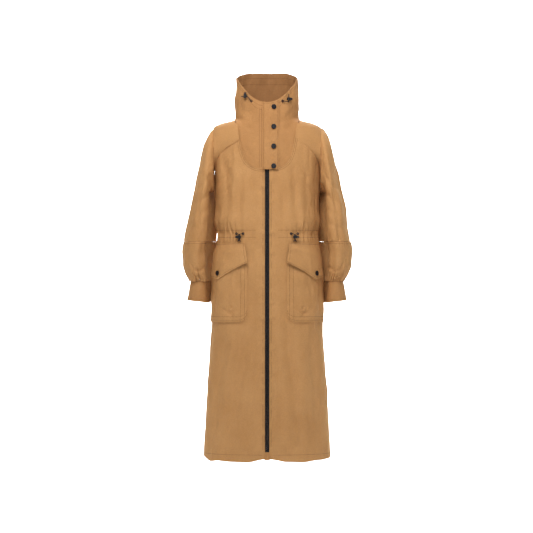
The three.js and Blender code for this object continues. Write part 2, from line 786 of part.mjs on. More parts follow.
// ---- hanging loop -----------------------------------------------------------------------------
function hangLoop() {
  const half = loopWidth / 2;
  const corner = 12;
  const shape = new Shape();
  shape.moveTo(-half, 0);
  shape.lineTo(-half, loopRise - corner);
  shape.quadraticCurveTo(-half, loopRise, -half + corner, loopRise);
  shape.lineTo(half - corner, loopRise);
  shape.quadraticCurveTo(half, loopRise, half, loopRise - corner);
  shape.lineTo(half, 0);
  shape.lineTo(half - loopBand, 0);
  shape.lineTo(half - loopBand, loopRise - corner);
  shape.quadraticCurveTo(half - loopBand, loopRise - loopBand, half - corner, loopRise - loopBand);
  shape.lineTo(-half + corner, loopRise - loopBand);
  shape.quadraticCurveTo(-half + loopBand, loopRise - loopBand, -half + loopBand, loopRise - corner);
  shape.lineTo(-half + loopBand, 0);
  shape.closePath();
  const settings = { depth: loopThickness, bevelEnabled: false, curveSegments: 5 };
  return new ExtrudeGeometry(shape, settings).rotateX(90 * degree);
}

// The loop stands against the facing at the back of the neck and leans with it.
const loopAngle = 180 - angleAtX(loopWidth / 2, loopHeight);
const loopPlace = (height) => bodyPoint(loopAngle, height, linerOffset - 2 * touchGap);
const loopFoot = loopPlace(loopHeight);
const loopLean = Math.atan2(loopFoot.y - loopPlace(loopHeight + loopRise).y, loopRise);

// ---- the assembly -----------------------------------------------------------------------------
const eyeletPlaces = [
  ['waist_eyelet_inner', waistEyeletInner, waistHeight],
  ['waist_eyelet_outer', waistEyeletOuter, waistHeight],
  ['collar_eyelet', collarEyeletX, collarEyeletHeight],
];

add('back_panel', backPanel(), camel);
add('collar', collar(), camelTrim);
add('collar_facing', collarFacing(), lining);
add('waist_casing', waistCasing(), lining);
for (const [name, side] of sides) {
  add(`${name}_front_panel`, frontPanel(side), camel);
  add(`${name}_pocket_bag`, pocketBag(side), camel);
  add(`${name}_pocket_flap`, pocketFlap(side), camel);
  add(`${name}_upper_sleeve`, upperSleeve(side), camel);
  add(`${name}_lower_sleeve`, lowerSleeve(side), camel);
  add(`${name}_cuff`, cuff(side), camelTrim);
  seatOnEdge(add(`${name}_zip_tape`, zipHalf(side), blackTape), zipTop);
  const snapAt = side * pocketSnapX;
  const capLift = pocketFlapLift + pocketFlapThickness + touchGap;
  const studLift = layerGap + pocketThickness + touchGap;
  seat(add(`${name}_pocket_snap_cap`, snapCap(), blackMetal), snapAt, pocketSnapHeight, capLift);
  seat(add(`${name}_pocket_snap_stud`, snapStud(), blackMetal), snapAt, pocketSnapHeight, studLift);
  for (const [place, x, height] of eyeletPlaces) {
    seat(add(`${name}_${place}`, eyelet(), blackMetal), side * x, height, touchGap);
  }
}

add('placket_flap', placketFlap(), camelTrim);
for (let i = 0; i < snapCount; i += 1) {
  const height = snapTopHeight - i * snapPitch;
  const capLift = flapLift + flapThickness + touchGap;
  seat(add(`placket_snap_cap_${i + 1}`, snapCap(), blackMetal), snapX, height, capLift);
  seat(add(`placket_snap_stud_${i + 1}`, snapStud(), blackMetal), snapX, height, touchGap);
}

seatOnEdge(add('upper_slider', upperSlider(), blackMetal), upperSliderHeight);
seatOnEdge(add('lower_slider', lowerSlider(), blackMetal), lowerSliderHeight);
const pullHeight = lowerSliderHeight - pivotDown / zipSlope;
seatOnEdge(add('lower_pull', lowerPull(), camelTrim), pullHeight, pullPivotLift);

const downward = new Vector3(0, 0, -1);
for (const [name, side] of sides) {
  const lockX = side * (waistEyeletInner + waistEyeletOuter) / 2;
  const frame = lockFrame(lockX, waistLockHeight, false, downward);
  addLock(`${name}_waist`, frame, 2);
  for (const [place, x, turn] of [['inner', waistEyeletInner, -1], ['outer', waistEyeletOuter, 1]]) {
    const route = cordRoute(side * x, waistHeight, frame, turn * cordSpacing / 2, waistTail);
    add(`${name}_waist_cord_${place}`, cord(route), blackCord);
  }
}

const rightCollarFrame = lockFrame(-rightCollarLockX, frontRimHeight + 19, true, new Vector3(-1, 0, 0));
addLock('right_collar', rightCollarFrame, 1);
const rightCollarRoute = cordRoute(-collarEyeletX, collarEyeletHeight, rightCollarFrame, 0, collarTail);
add('right_collar_cord', cord(rightCollarRoute), blackCord);

const leftCollarFrame = lockFrame(leftCollarLockX, frontRimHeight + 10, false, new Vector3(0, 0, 1));
addLock('left_collar', leftCollarFrame, 1);
const leftCollarRoute = cordRoute(collarEyeletX, collarEyeletHeight, leftCollarFrame, 0, collarTail);
add('left_collar_cord', cord(leftCollarRoute), blackCord);

const loop = add('hang_loop', hangLoop(), blackTape);
loop.position.set(0, loopFoot.y, loopFoot.z);
loop.rotation.x = loopLean;

// The whole coat hangs with the origin under the loop's top band.
const hangPoint = new Vector3(0, -loopThickness / 2, loopRise - loopBand);
hangPoint.applyEuler(loop.rotation).add(loop.position);
coat.position.copy(hangPoint).negate();

export default coat;
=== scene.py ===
import math
import bpy
import numpy as np
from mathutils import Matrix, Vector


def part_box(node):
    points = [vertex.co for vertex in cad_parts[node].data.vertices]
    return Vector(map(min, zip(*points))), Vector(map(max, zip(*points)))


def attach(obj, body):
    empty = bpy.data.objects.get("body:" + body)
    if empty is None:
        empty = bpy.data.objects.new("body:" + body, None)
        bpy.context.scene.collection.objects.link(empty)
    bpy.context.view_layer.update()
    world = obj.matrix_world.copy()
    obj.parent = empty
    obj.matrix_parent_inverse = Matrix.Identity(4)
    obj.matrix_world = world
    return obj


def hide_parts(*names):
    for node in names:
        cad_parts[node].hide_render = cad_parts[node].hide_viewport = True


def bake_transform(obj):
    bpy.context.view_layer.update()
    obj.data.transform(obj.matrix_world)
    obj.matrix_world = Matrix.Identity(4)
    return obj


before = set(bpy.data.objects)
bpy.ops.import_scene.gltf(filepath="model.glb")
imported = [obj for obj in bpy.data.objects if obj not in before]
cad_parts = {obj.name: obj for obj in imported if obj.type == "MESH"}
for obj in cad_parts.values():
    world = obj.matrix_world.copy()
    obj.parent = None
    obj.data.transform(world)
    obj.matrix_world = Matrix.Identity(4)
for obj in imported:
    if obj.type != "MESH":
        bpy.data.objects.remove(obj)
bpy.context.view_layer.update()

noise = np.random.default_rng(7)

# places, from the frame
mm = 0.001
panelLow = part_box("left_front_panel")[0]
hemFrontDepth, rimFrontDepth = 165.0, 92.0
neckHeight = 1149.0
waistHeight = neckHeight - 387
frontRimHeight = neckHeight + 57
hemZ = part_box("left_zip_tape")[0][2] / mm - 29.7      # row height of the hem line, in millimetres
sideLineY = panelLow[1] / mm + hemFrontDepth          # row depth of the side line


def toRow(points):
    # coat millimetres to the row frame's metres
    return (np.asarray(points, float) + np.array([0.0, sideLineY, hemZ])) * mm


# the body's shape
# height, half width, depth behind the side line, squareness of the section
bodyStations = np.array([
    (-40, 215.5, 171, 2.25), (0, 214, 168, 2.25), (waistHeight * 0.2, 208, 156, 2.25),
    (waistHeight * 0.43, 197, 143, 2.3), (waistHeight * 0.59, 188, 135, 2.35),
    (waistHeight - 142, 181, 124, 2.35), (waistHeight - 62, 175, 110, 2.3),
    (waistHeight - 7, 170, 102, 2.3), (waistHeight + 88, 175, 110, 2.3),
    (neckHeight - 199, 178, 121, 2.3), (neckHeight - 99, 180, 122, 2.25),
    (neckHeight - 54, 180, 113, 2.1), (neckHeight - 29, 172, 104, 1.95),
    (neckHeight - 14, 150, 97, 1.9), (neckHeight - 3, 116, 90, 2.1), (neckHeight + 5, 108, 86, 2.2),
    (neckHeight + 60, 107, 82, 2.2), (neckHeight + 160, 106, 79, 2.2),
])


def smoothThrough(keys, values):
    # cubic through the values, its slopes the harmonic mean of the steps on either side
    keys, values = np.asarray(keys, float), np.asarray(values, float)
    step = np.diff(values) / np.diff(keys)
    slope = np.zeros(len(keys))
    same = step[:-1] * step[1:] > 0
    total = np.where(same, step[:-1] + step[1:], 1.0)
    slope[1:-1] = np.where(same, 2 * step[:-1] * step[1:] / total, 0.0)

    def at(key):
        key = np.clip(np.asarray(key, float), keys[0], keys[-1])
        i = np.clip(np.searchsorted(keys, key, side="left") - 1, 0, len(keys) - 2)
        span = keys[i + 1] - keys[i]
        t = (key - keys[i]) / span
        rise = values[i + 1] - values[i]
        a, b = slope[i] * span, slope[i + 1] * span
        return values[i] + t * (a + t * (3 * rise - 2 * a - b + t * (a + b - 2 * rise)))
    return at


halfWidthAt = smoothThrough(bodyStations[:, 0], bodyStations[:, 1])
backAt = smoothThrough(bodyStations[:, 0], bodyStations[:, 2])
squareAt = smoothThrough(bodyStations[:, 0], bodyStations[:, 3])
frontLean = (hemFrontDepth - rimFrontDepth) / frontRimHeight


def frontAt(height):
    # depth of the front: straight, less by the lean for each millimetre of height
    return hemFrontDepth - frontLean * height


def skin(angle, height):
    # superellipse section: |sin|^(2/n) across and |cos|^(2/n) deep, angle 0 at the centre front
    power = 2 / squareAt(height)
    s, c = np.sin(np.radians(angle)), np.cos(np.radians(angle))
    depth = np.where(c > 0, frontAt(height), backAt(height))
    x = np.sign(s) * np.abs(s) ** power * halfWidthAt(height)
    y = -np.sign(c) * np.abs(c) ** power * depth
    return np.stack([x, y, height + 0 * x], -1)


def unit(v):
    # a vector divided by its own length
    return v / np.maximum(np.linalg.norm(v, axis=-1, keepdims=True), 1e-9)


def skinNormal(angle, height):
    # outward direction: the step round the body crossed with the step up it
    around = skin(angle + 1, height) - skin(angle - 1, height)
    upward = skin(angle, height + 1.5) - skin(angle, height - 1.5)
    return unit(np.cross(around, upward))


def bodyPoint(angle, height, offset):
    # a place on the body plus its outward direction times an offset
    angle, height = np.broadcast_arrays(np.asarray(angle, float), np.asarray(height, float))
    return skin(angle, height) + skinNormal(angle, height) * np.asarray(offset, float)[..., None]


def angleAtX(x, height):
    # the section solved backwards: arcsine of (x over half width) to the power squareness over 2
    share = np.minimum(1, np.abs(x) / halfWidthAt(height))
    return np.sign(x) * np.degrees(np.arcsin(share ** (squareAt(height) / 2)))


def frontPoint(x, height, offset):
    # a place on the front given by its distance across instead of its angle
    return bodyPoint(angleAtX(x, height), height, offset)


def ease(t):
    # smooth step from 0 to 1: t squared times (3 - 2t)
    t = np.clip(t, 0, 1)
    return t * t * (3 - 2 * t)


def mix(a, b, t):
    # a straight blend from a to b
    return a + (b - a) * t


# smooth noise and folds
noiseGrid = noise.normal(size=(64, 64))


def softNoise(u, v):
    # value noise: a 64 by 64 grid of numbers, blended smoothly and wrapped at its edges
    iu, iv = np.floor(u).astype(int), np.floor(v).astype(int)
    fu, fv = ease(u - iu), ease(v - iv)
    a = noiseGrid[iu % 64, iv % 64]
    b = noiseGrid[(iu + 1) % 64, iv % 64]
    c = noiseGrid[iu % 64, (iv + 1) % 64]
    d = noiseGrid[(iu + 1) % 64, (iv + 1) % 64]
    return mix(mix(a, b, fu), mix(c, d, fu), fv)


def crease(x, z, points, width, depth, sharp=1.0):
    # a soft trough along a bent line: depth times exp(-(distance/width)^2), fading at both ends
    points = np.asarray(points, float)
    best = np.full(np.shape(x), 1e9)
    along = np.zeros(np.shape(x))
    reach = np.r_[0, np.cumsum(np.linalg.norm(np.diff(points, axis=0), axis=1))]
    for i in range(len(points) - 1):
        d = points[i + 1] - points[i]
        t = np.clip(((x - points[i, 0]) * d[0] + (z - points[i, 1]) * d[1]) / (d @ d), 0, 1)
        away = np.hypot(x - points[i, 0] - t * d[0], z - points[i, 1] - t * d[1])
        nearer = away < best
        best = np.where(nearer, away, best)
        along = np.where(nearer, reach[i] + t * (reach[i + 1] - reach[i]), along)
    fade = np.sin(np.pi * np.clip(along / reach[-1] * 0.9 + 0.05, 0, 1)) ** 0.6
    return depth * fade * np.exp(-np.abs(best / width) ** (2 * sharp))


def bodyRelief(angle, height):
    # folds of the body's cloth, in millimetres out of its plain surface
    turn = np.abs((np.asarray(angle, float) + 180) % 360 - 180)
    p = skin(angle, height)
    x, z = p[..., 0], p[..., 2]
    ahead = p[..., 1] < 0
    out = 2.6 * softNoise(angle / 17 + 9, height / 120) + 0.8 * softNoise(angle / 5, height / 38 + 7)
    # soft upright troughs down the chest on both sides of the zip
    chest = crease(x, z, [(-84, 1000), (-92, 900), (-96, 775)], 13, -6)
    chest = chest + crease(x, z, [(88, 985), (96, 890), (101, 775)], 12, -6.5)
    chest = chest + crease(x, z, [(-52, 960), (-50, 850), (-62, 770)], 11, -2.6)
    chest = chest + crease(x, z, [(50, 950), (57, 850), (60, 770)], 12, -3)
    chest = chest + crease(x, z, [(-140, 1010), (-132, 900), (-142, 800)], 14, -4)
    chest = chest + crease(x, z, [(143, 1000), (134, 890), (140, 795)], 14, -3.6)
    # drag lines from the armholes
    chest = chest + crease(x, z, [(-172, 925), (-140, 960), (-112, 1010)], 8, -3.2)
    chest = chest + crease(x, z, [(172, 930), (138, 955), (110, 1000)], 8, -3)
    chest = chest + crease(x, z, [(-170, 880), (-145, 905), (-118, 925)], 6, -2)
    chest = chest + crease(x, z, [(170, 885), (148, 915), (120, 930)], 6, -2.2)
    # skirt folds that open towards the hem
    skirt = crease(x, z, [(-48, 560), (-68, 390), (-84, 305), (-105, 188), (-118, 60)], 17, -8)
    skirt = skirt + crease(x, z, [(58, 520), (83, 322), (98, 204), (112, 50)], 16, -8)
    skirt = skirt + crease(x, z, [(-150, 450), (-158, 300), (-172, 150), (-178, 10)], 18, -7)
    skirt = skirt + crease(x, z, [(150, 455), (160, 300), (170, 150), (176, 10)], 18, -7)
    skirt = skirt + crease(x, z, [(-30, 420), (-36, 250), (-44, 90)], 11, -2.6)
    skirt = skirt + crease(x, z, [(28, 380), (38, 230), (46, 70)], 12, -3)
    skirt = skirt + crease(x, z, [(-128, 230), (-140, 120), (-142, 20)], 12, -3.5)
    skirt = skirt + crease(x, z, [(134, 240), (146, 120), (148, 15)], 12, -3.5)
    skirt = skirt + crease(x, z, [(-66, 66), (-58, 44), (-44, 40)], 6, -2.4)
    skirt = skirt + crease(x, z, [(104, 66), (94, 46), (84, 44)], 6, -2.2)
    skirt = skirt + crease(x, z, [(60, 58), (66, 38), (70, 14)], 6, -2)
    out = out + np.where(ahead, chest + skirt, 0)
    # the back: a slack hollow at the waist and long folds below it
    back = 4.5 * np.sin(np.radians((np.asarray(angle, float) - 90) * 6.3)) * ease((640 - z) / 560)
    back = back + 2.2 * softNoise(angle / 9 + 30, height / 60) * np.exp(-((z - 800) / 120) ** 2)
    out = out + np.where(ahead, 0, back * ease((turn - 95) / 25))
    # the drawcord draws the waist into small upright gathers, with slack cloth above it
    level = z - waistHeight
    gathered = ease((np.abs(x) - 84) / 40) + 0.35 * ease((np.abs(x) - 30) / 40)
    gathered = np.where(ahead, gathered, 1.0)
    ripple = np.sin(np.radians(angle) * 46 + 2.2 * softNoise(angle / 7, height / 50 + 3))
    ripple = ripple * (0.7 + 0.5 * softNoise(angle / 4 + 5, height / 400))
    out = out + gathered * ripple * (2.6 * np.exp(-(level / 15) ** 2) + 0.9 * np.exp(-(level / 42) ** 2))
    out = out + gathered * (5.5 * np.exp(-((level - 42) / 30) ** 2) - 2.5 * np.exp(-(level / 12) ** 2))
    # sharper puckers run up and down from the drawcord beside the eyelets
    for at, tall, low, deep in ((-166, 44, 26, 3.4), (-152, 30, 34, 2.6), (-139, 52, 20, 3.8),
                                (-126, 34, 30, 3.0), (-112, 46, 14, 3.2), (-70, 24, 10, 1.8),
                                (70, 26, 12, 1.8), (113, 40, 16, 3.2), (127, 36, 26, 3.0),
                                (141, 50, 20, 3.8), (154, 32, 34, 2.6), (167, 46, 24, 3.4)):
        lean = math.copysign(0.12 * tall, at)
        line = [(at - lean, waistHeight + tall), (at, waistHeight + 4), (at + lean * 0.4, waistHeight - low)]
        out = out + np.where(ahead, crease(x, z, line, 3.6, -deep), 0)
    # the front edge lies straight along the zip, with small puckers beside its stitching
    edge = np.where(ahead, np.abs(x), 999)
    hold = ease((edge - 12) / 26)
    pucker = 0.75 * softNoise(z / 13 + np.sign(x) * 21, x * 0 + 2) * np.exp(-((edge - 20) / 11) ** 2)
    # calm where the collar starts
    calm = ease((neckHeight - 2 - z) / 70)
    return out * hold * calm + pucker * ease((985 - z) / 12)


def collarRelief(angle, height):
    # slack funnel: shallow dents and a few cross creases
    turn = (np.asarray(angle, float) + 180) % 360 - 180
    p = skin(angle, height)
    x, z = p[..., 0], p[..., 2]
    out = 1.7 * softNoise(turn / 15 + 40, height / 45) + 0.5 * softNoise(turn / 5 + 12, height / 17)
    dents = crease(x, z, [(-98, 1150), (-80, 1128), (-52, 1118)], 8, -3)
    dents = dents + crease(x, z, [(98, 1152), (80, 1126), (56, 1112)], 8, -3)
    dents = dents + crease(x, z, [(-96, 1200), (-80, 1176), (-60, 1168)], 9, -2.4)
    dents = dents + crease(x, z, [(96, 1196), (82, 1168), (62, 1160)], 9, -2.4)
    dents = dents + crease(x, z, [(-70, 1060), (-58, 1030), (-40, 1010)], 9, -2)
    dents = dents + crease(x, z, [(76, 1070), (66, 1040), (52, 1015)], 9, -2)
    hold = ease((np.where(np.abs(turn) < 90, np.abs(x), 999) - 14) / 30)
    return (out + np.where(np.abs(turn) < 90, dents, 0)) * hold


# making meshes
def gridNormals(points, closed):
    # steps along the rows crossed with steps along the columns, at every point of a grid
    if closed:
        du = np.roll(points, -1, 1) - np.roll(points, 1, 1)
    else:
        du = np.gradient(points, axis=1)
    return unit(np.cross(du, np.gradient(points, axis=0)))


def link(mesh, name, materials):
    # puts a mesh in the scene with its materials
    obj = bpy.data.objects.new(name, mesh)
    bpy.context.scene.collection.objects.link(obj)
    for material in materials:
        mesh.materials.append(material)
    return obj


def meshFrom(name, vertices, faces, materials, uv=None, kinds=None, sharpAngle=45):
    # vertices in coat millimetres, one uv pair per vertex, kinds is the material of each face
    mesh = bpy.data.meshes.new(name)
    mesh.from_pydata(toRow(vertices).tolist(), [], [f for f in faces])
    mesh.polygons.foreach_set("use_smooth", np.ones(len(mesh.polygons), bool))
    if kinds is not None:
        mesh.polygons.foreach_set("material_index", np.asarray(kinds, np.int32))
    if uv is not None:
        loops = np.empty(len(mesh.loops), np.int32)
        mesh.loops.foreach_get("vertex_index", loops)
        layer = mesh.uv_layers.new(name="cut")
        layer.data.foreach_set("uv", np.asarray(uv, np.float32)[loops].ravel())
    mesh.set_sharp_from_angle(angle=math.radians(sharpAngle))
    mesh.update()
    return link(mesh, name, materials)


def clothSheet(name, points, thickness, materials, closed=False, centre=None):
    # outer face is the grid of points, inner face the same grid moved a thickness along its normals
    normals = gridNormals(points, closed)
    middle = np.array([0.0, 0.0, 0.0]) if centre is None else centre
    away = points - middle
    away[..., 2] = 0
    if (normals * away).sum() < 0:
        points = points[:, ::-1]
        normals = gridNormals(points, closed)
    rows, columns = points.shape[:2]
    inner = points - normals * thickness
    across = np.linalg.norm(np.diff(points, axis=1), axis=2).mean(0)
    along = np.linalg.norm(np.diff(points, axis=0), axis=2).mean(1)
    u, v = np.meshgrid(np.r_[0, np.cumsum(across)], np.r_[0, np.cumsum(along)])
    uv = np.stack([u, v], -1).reshape(-1, 2) * mm
    index = np.arange(rows * columns).reshape(rows, columns)
    right = np.roll(index, -1, 1) if closed else index[:, 1:]
    left = index if closed else index[:, :-1]
    a, b, c, d = left[:-1], right[:-1], right[1:], left[1:]
    outer = np.stack([a, b, c, d], -1).reshape(-1, 4)
    shift = rows * columns
    behind = outer[:, ::-1] + shift
    rims = [np.stack([left[0] + shift, right[0] + shift, right[0], left[0]], -1)]
    rims.append(np.stack([left[-1], right[-1], right[-1] + shift, left[-1] + shift], -1))
    if not closed:
        lowSide, highSide = index[:-1, 0], index[1:, 0]
        rims.append(np.stack([lowSide, highSide, highSide + shift, lowSide + shift], -1))
        lowSide, highSide = index[:-1, -1], index[1:, -1]
        rims.append(np.stack([lowSide + shift, highSide + shift, highSide, lowSide], -1))
    rims = np.concatenate(rims)
    faces = np.concatenate([outer, rims, behind])
    # the inner faces take the last material; on the coat's cloth that is the darker camel of painted shade
    kinds = np.r_[np.zeros(len(outer) + len(rims)), np.full(len(behind), len(materials) - 1)]
    vertices = np.concatenate([points.reshape(-1, 3), inner.reshape(-1, 3)])
    return meshFrom(name, vertices, faces.tolist(), materials, np.concatenate([uv, uv]), kinds)


def tubeAlong(path, radius, sides=8, caps=True):
    # a ring of cos and sin around every point of the path, joined to the next ring
    path = np.asarray(path, float)
    radius = np.broadcast_to(np.asarray(radius, float), len(path))
    heading = unit(np.gradient(path, axis=0))
    side = np.cross(heading, [0.31, 0.17, 0.94])
    side = unit(side)
    other = np.cross(heading, side)
    turn = np.linspace(0, 2 * np.pi, sides, endpoint=False)
    ring = np.cos(turn)[None, :, None] * side[:, None] + np.sin(turn)[None, :, None] * other[:, None]
    vertices = (path[:, None] + ring * radius[:, None, None]).reshape(-1, 3)
    index = np.arange(len(path) * sides).reshape(len(path), sides)
    ahead = np.roll(index, -1, 1)
    faces = np.stack([index[:-1], ahead[:-1], ahead[1:], index[1:]], -1).reshape(-1, 4).tolist()
    if caps:
        faces = faces + [index[0, ::-1].tolist(), index[-1].tolist()]
    return vertices, faces


def stitches(path, normals, length=3.2, gap=1.0, radius=0.5):
    # short flattened dashes, each dipping into the cloth at its ends
    path, normals = np.asarray(path, float), np.asarray(normals, float)
    reach = np.r_[0, np.cumsum(np.linalg.norm(np.diff(path, axis=0), axis=1))]
    starts = np.arange(gap / 2, reach[-1] - length, length + gap)
    if not len(starts):
        return np.zeros((0, 3)), []
    shares = np.array([0, 0.18, 0.82, 1.0])
    lift = np.array([-0.35, 0.12, 0.12, -0.35]) * radius * 2.4
    wide = np.array([0.45, 1.0, 1.0, 0.45]) * radius
    at = starts[:, None] + shares[None] * length
    place = np.stack([np.interp(at, reach, path[:, k]) for k in range(3)], -1)
    normal = unit(np.stack([np.interp(at, reach, normals[:, k]) for k in range(3)], -1))
    place = place + normal * lift[None, :, None]
    heading = unit(place[:, -1:] - place[:, :1])
    side = unit(np.cross(normal, heading)) * wide[None, :, None]
    raised = normal * wide[None, :, None] * 0.7
    ring = np.stack([place + side, place + raised, place - side, place - raised], 2)
    count = len(starts)
    vertices = ring.reshape(-1, 3)
    index = np.arange(count * 16).reshape(count, 4, 4)
    ahead = np.roll(index, -1, 2)
    faces = np.stack([index[:, :-1], ahead[:, :-1], ahead[:, 1:], index[:, 1:]], -1).reshape(-1, 4)
    ends = np.concatenate([index[:, 0, ::-1], index[:, -1]])
    return vertices, np.concatenate([faces, ends]).tolist()


def joined(parts):
    # several meshes as one, each with its faces counted on from the last
    vertices, faces, count = [], [], 0
    for v, f in parts:
        if not len(v):
            continue
        vertices.append(np.asarray(v, float))
        faces += [[i + count for i in face] for face in f]
        count += len(v)
    return np.concatenate(vertices), faces


# materials
def nodeMaterial(name):
    # a material with its node tree and main shader
    material = bpy.data.materials.new(name)
    material.use_nodes = True
    tree = material.node_tree
    shader = tree.nodes["Principled BSDF"]
    return material, tree, shader


def node(tree, kind, inputs=None, **settings):
    # adds one node and sets its inputs
    made = tree.nodes.new(kind)
    for key, value in settings.items():
        setattr(made, key, value)
    for key, value in (inputs or {}).items():
        made.inputs[key].default_value = value
    return made


def ramp(tree, source, stops):
    # a colour ramp between the given stops
    made = tree.nodes.new("ShaderNodeValToRGB")
    band = made.color_ramp
    while len(band.elements) < len(stops):
        band.elements.new(0.5)
    for element, (place, value) in zip(band.elements, stops):
        element.position = place
        element.color = value if hasattr(value, "__len__") else (value, value, value, 1)
    tree.links.new(source, made.inputs["Fac"])
    return made.outputs["Color"]


def mixColor(tree, blend, share, first, second):
    # blends two colours by a share
    made = node(tree, "ShaderNodeMix", data_type="RGBA", blend_type=blend)
    for socket, value in ((made.inputs[0], share), (made.inputs[6], first), (made.inputs[7], second)):
        if isinstance(value, bpy.types.NodeSocket):
            tree.links.new(value, socket)
        else:
            socket.default_value = value
    return made.outputs[2]


def clothMaterial(name, light, dark, pitch=0.00055, sheen=0.16, rough=0.78, bump=0.25, mottle=0.5):
    # plain weave: two crossed wave textures on the cut, soft mottling and wear in object space
    material, tree, shader = nodeMaterial(name)
    place = node(tree, "ShaderNodeTexCoord")
    cut = node(tree, "ShaderNodeUVMap", uv_map="cut")
    waves = []
    for turn in (0, 1):
        wave = node(tree, "ShaderNodeTexWave", {"Scale": 0.314 / pitch, "Distortion": 0.6, "Detail": 1.0},
                    wave_type="BANDS", bands_direction="XY"[turn])
        tree.links.new(cut.outputs["UV"], wave.inputs["Vector"])
        waves.append(wave.outputs["Fac"])
    weave = node(tree, "ShaderNodeMath", operation="MULTIPLY")
    tree.links.new(waves[0], weave.inputs[0])
    tree.links.new(waves[1], weave.inputs[1])
    broad = node(tree, "ShaderNodeTexNoise", {"Scale": 9.0, "Detail": 4.0, "Roughness": 0.55})
    fine = node(tree, "ShaderNodeTexNoise", {"Scale": 260.0, "Detail": 3.0, "Roughness": 0.6})
    slub = node(tree, "ShaderNodeTexNoise", {"Scale": 70.0, "Detail": 2.0})
    for texture in (broad, fine, slub):
        tree.links.new(place.outputs["Object"], texture.inputs["Vector"])
    base = mixColor(tree, "MIX", ramp(tree, broad.outputs["Fac"], [(0.3, 0.0), (0.7, 1.0)]), dark, light)
    grain = ramp(tree, fine.outputs["Fac"], [(0.3, 0.84), (0.7, 1.1)])
    base = mixColor(tree, "MULTIPLY", mottle, base, grain)
    threads = ramp(tree, weave.outputs[0], [(0.0, 0.82), (0.6, 1.08)])
    base = mixColor(tree, "MULTIPLY", 0.6, base, threads)
    tree.links.new(base, shader.inputs["Base Color"])
    tree.links.new(ramp(tree, slub.outputs["Fac"], [(0.3, rough - 0.07), (0.7, rough + 0.07)]),
                   shader.inputs["Roughness"])
    shader.inputs["Sheen Weight"].default_value = sheen
    shader.inputs["Sheen Roughness"].default_value = 0.45
    shader.inputs["Sheen Tint"].default_value = (*[min(1, c * 2.2) for c in light[:3]], 1)
    shader.inputs["Specular IOR Level"].default_value = 0.25
    height = node(tree, "ShaderNodeMath", {1: 0.4}, operation="MULTIPLY_ADD")
    tree.links.new(slub.outputs["Fac"], height.inputs[0])
    tree.links.new(weave.outputs[0], height.inputs[2])
    relief = node(tree, "ShaderNodeBump", {"Strength": bump, "Distance": 0.0004})
    tree.links.new(height.outputs[0], relief.inputs["Height"])
    tree.links.new(relief.outputs["Normal"], shader.inputs["Normal"])
    return material


def hardMaterial(name, color, rough, metal, coat=0.0, scale=180.0):
    # lacquer or moulded plastic: fine orange peel, and a roughness that wanders a little
    material, tree, shader = nodeMaterial(name)
    place = node(tree, "ShaderNodeTexCoord")
    peel = node(tree, "ShaderNodeTexNoise", {"Scale": scale, "Detail": 3.0})
    smear = node(tree, "ShaderNodeTexNoise", {"Scale": scale / 6, "Detail": 4.0})
    for texture in (peel, smear):
        tree.links.new(place.outputs["Object"], texture.inputs["Vector"])
    worn = [min(1, c * 1.9 + 0.012) for c in color[:3]] + [1]
    tree.links.new(mixColor(tree, "MIX", ramp(tree, smear.outputs["Fac"], [(0.5, 0.0), (0.8, 1.0)]),
                            color, worn), shader.inputs["Base Color"])
    tree.links.new(ramp(tree, smear.outputs["Fac"], [(0.35, rough - 0.06), (0.7, rough + 0.1)]),
                   shader.inputs["Roughness"])
    shader.inputs["Metallic"].default_value = metal
    shader.inputs["Coat Weight"].default_value = coat
    shader.inputs["Specular IOR Level"].default_value = 0.32
    relief = node(tree, "ShaderNodeBump", {"Strength": 0.12, "Distance": 0.0002})
    tree.links.new(peel.outputs["Fac"], relief.inputs["Height"])
    tree.links.new(relief.outputs["Normal"], shader.inputs["Normal"])
    return material


def strandMaterial(name, color, scale=900.0, rough=0.7):
    # braid and tape: diagonal strands from two crossed waves in object space
    material, tree, shader = nodeMaterial(name)
    place = node(tree, "ShaderNodeTexCoord")
    strands = []
    for turn in (0.9, -0.9):
        spin = node(tree, "ShaderNodeVectorRotate", {"Angle": turn}, rotation_type="Y_AXIS")
        tree.links.new(place.outputs["Object"], spin.inputs["Vector"])
        wave = node(tree, "ShaderNodeTexWave", {"Scale": scale, "Distortion": 0.8},
                    wave_type="BANDS", bands_direction="X")
        tree.links.new(spin.outputs["Vector"], wave.inputs["Vector"])
        strands.append(wave.outputs["Fac"])
    braid = node(tree, "ShaderNodeMath", operation="MULTIPLY")
    tree.links.new(strands[0], braid.inputs[0])
    tree.links.new(strands[1], braid.inputs[1])
    lit = [min(1, c * 2.6 + 0.01) for c in color[:3]] + [1]
    tree.links.new(mixColor(tree, "MIX", braid.outputs[0], color, lit), shader.inputs["Base Color"])
    shader.inputs["Roughness"].default_value = rough
    shader.inputs["Sheen Weight"].default_value = 0.06
    shader.inputs["Specular IOR Level"].default_value = 0.2
    relief = node(tree, "ShaderNodeBump", {"Strength": 0.5, "Distance": 0.0004})
    tree.links.new(braid.outputs[0], relief.inputs["Height"])
    tree.links.new(relief.outputs["Normal"], shader.inputs["Normal"])
    return material


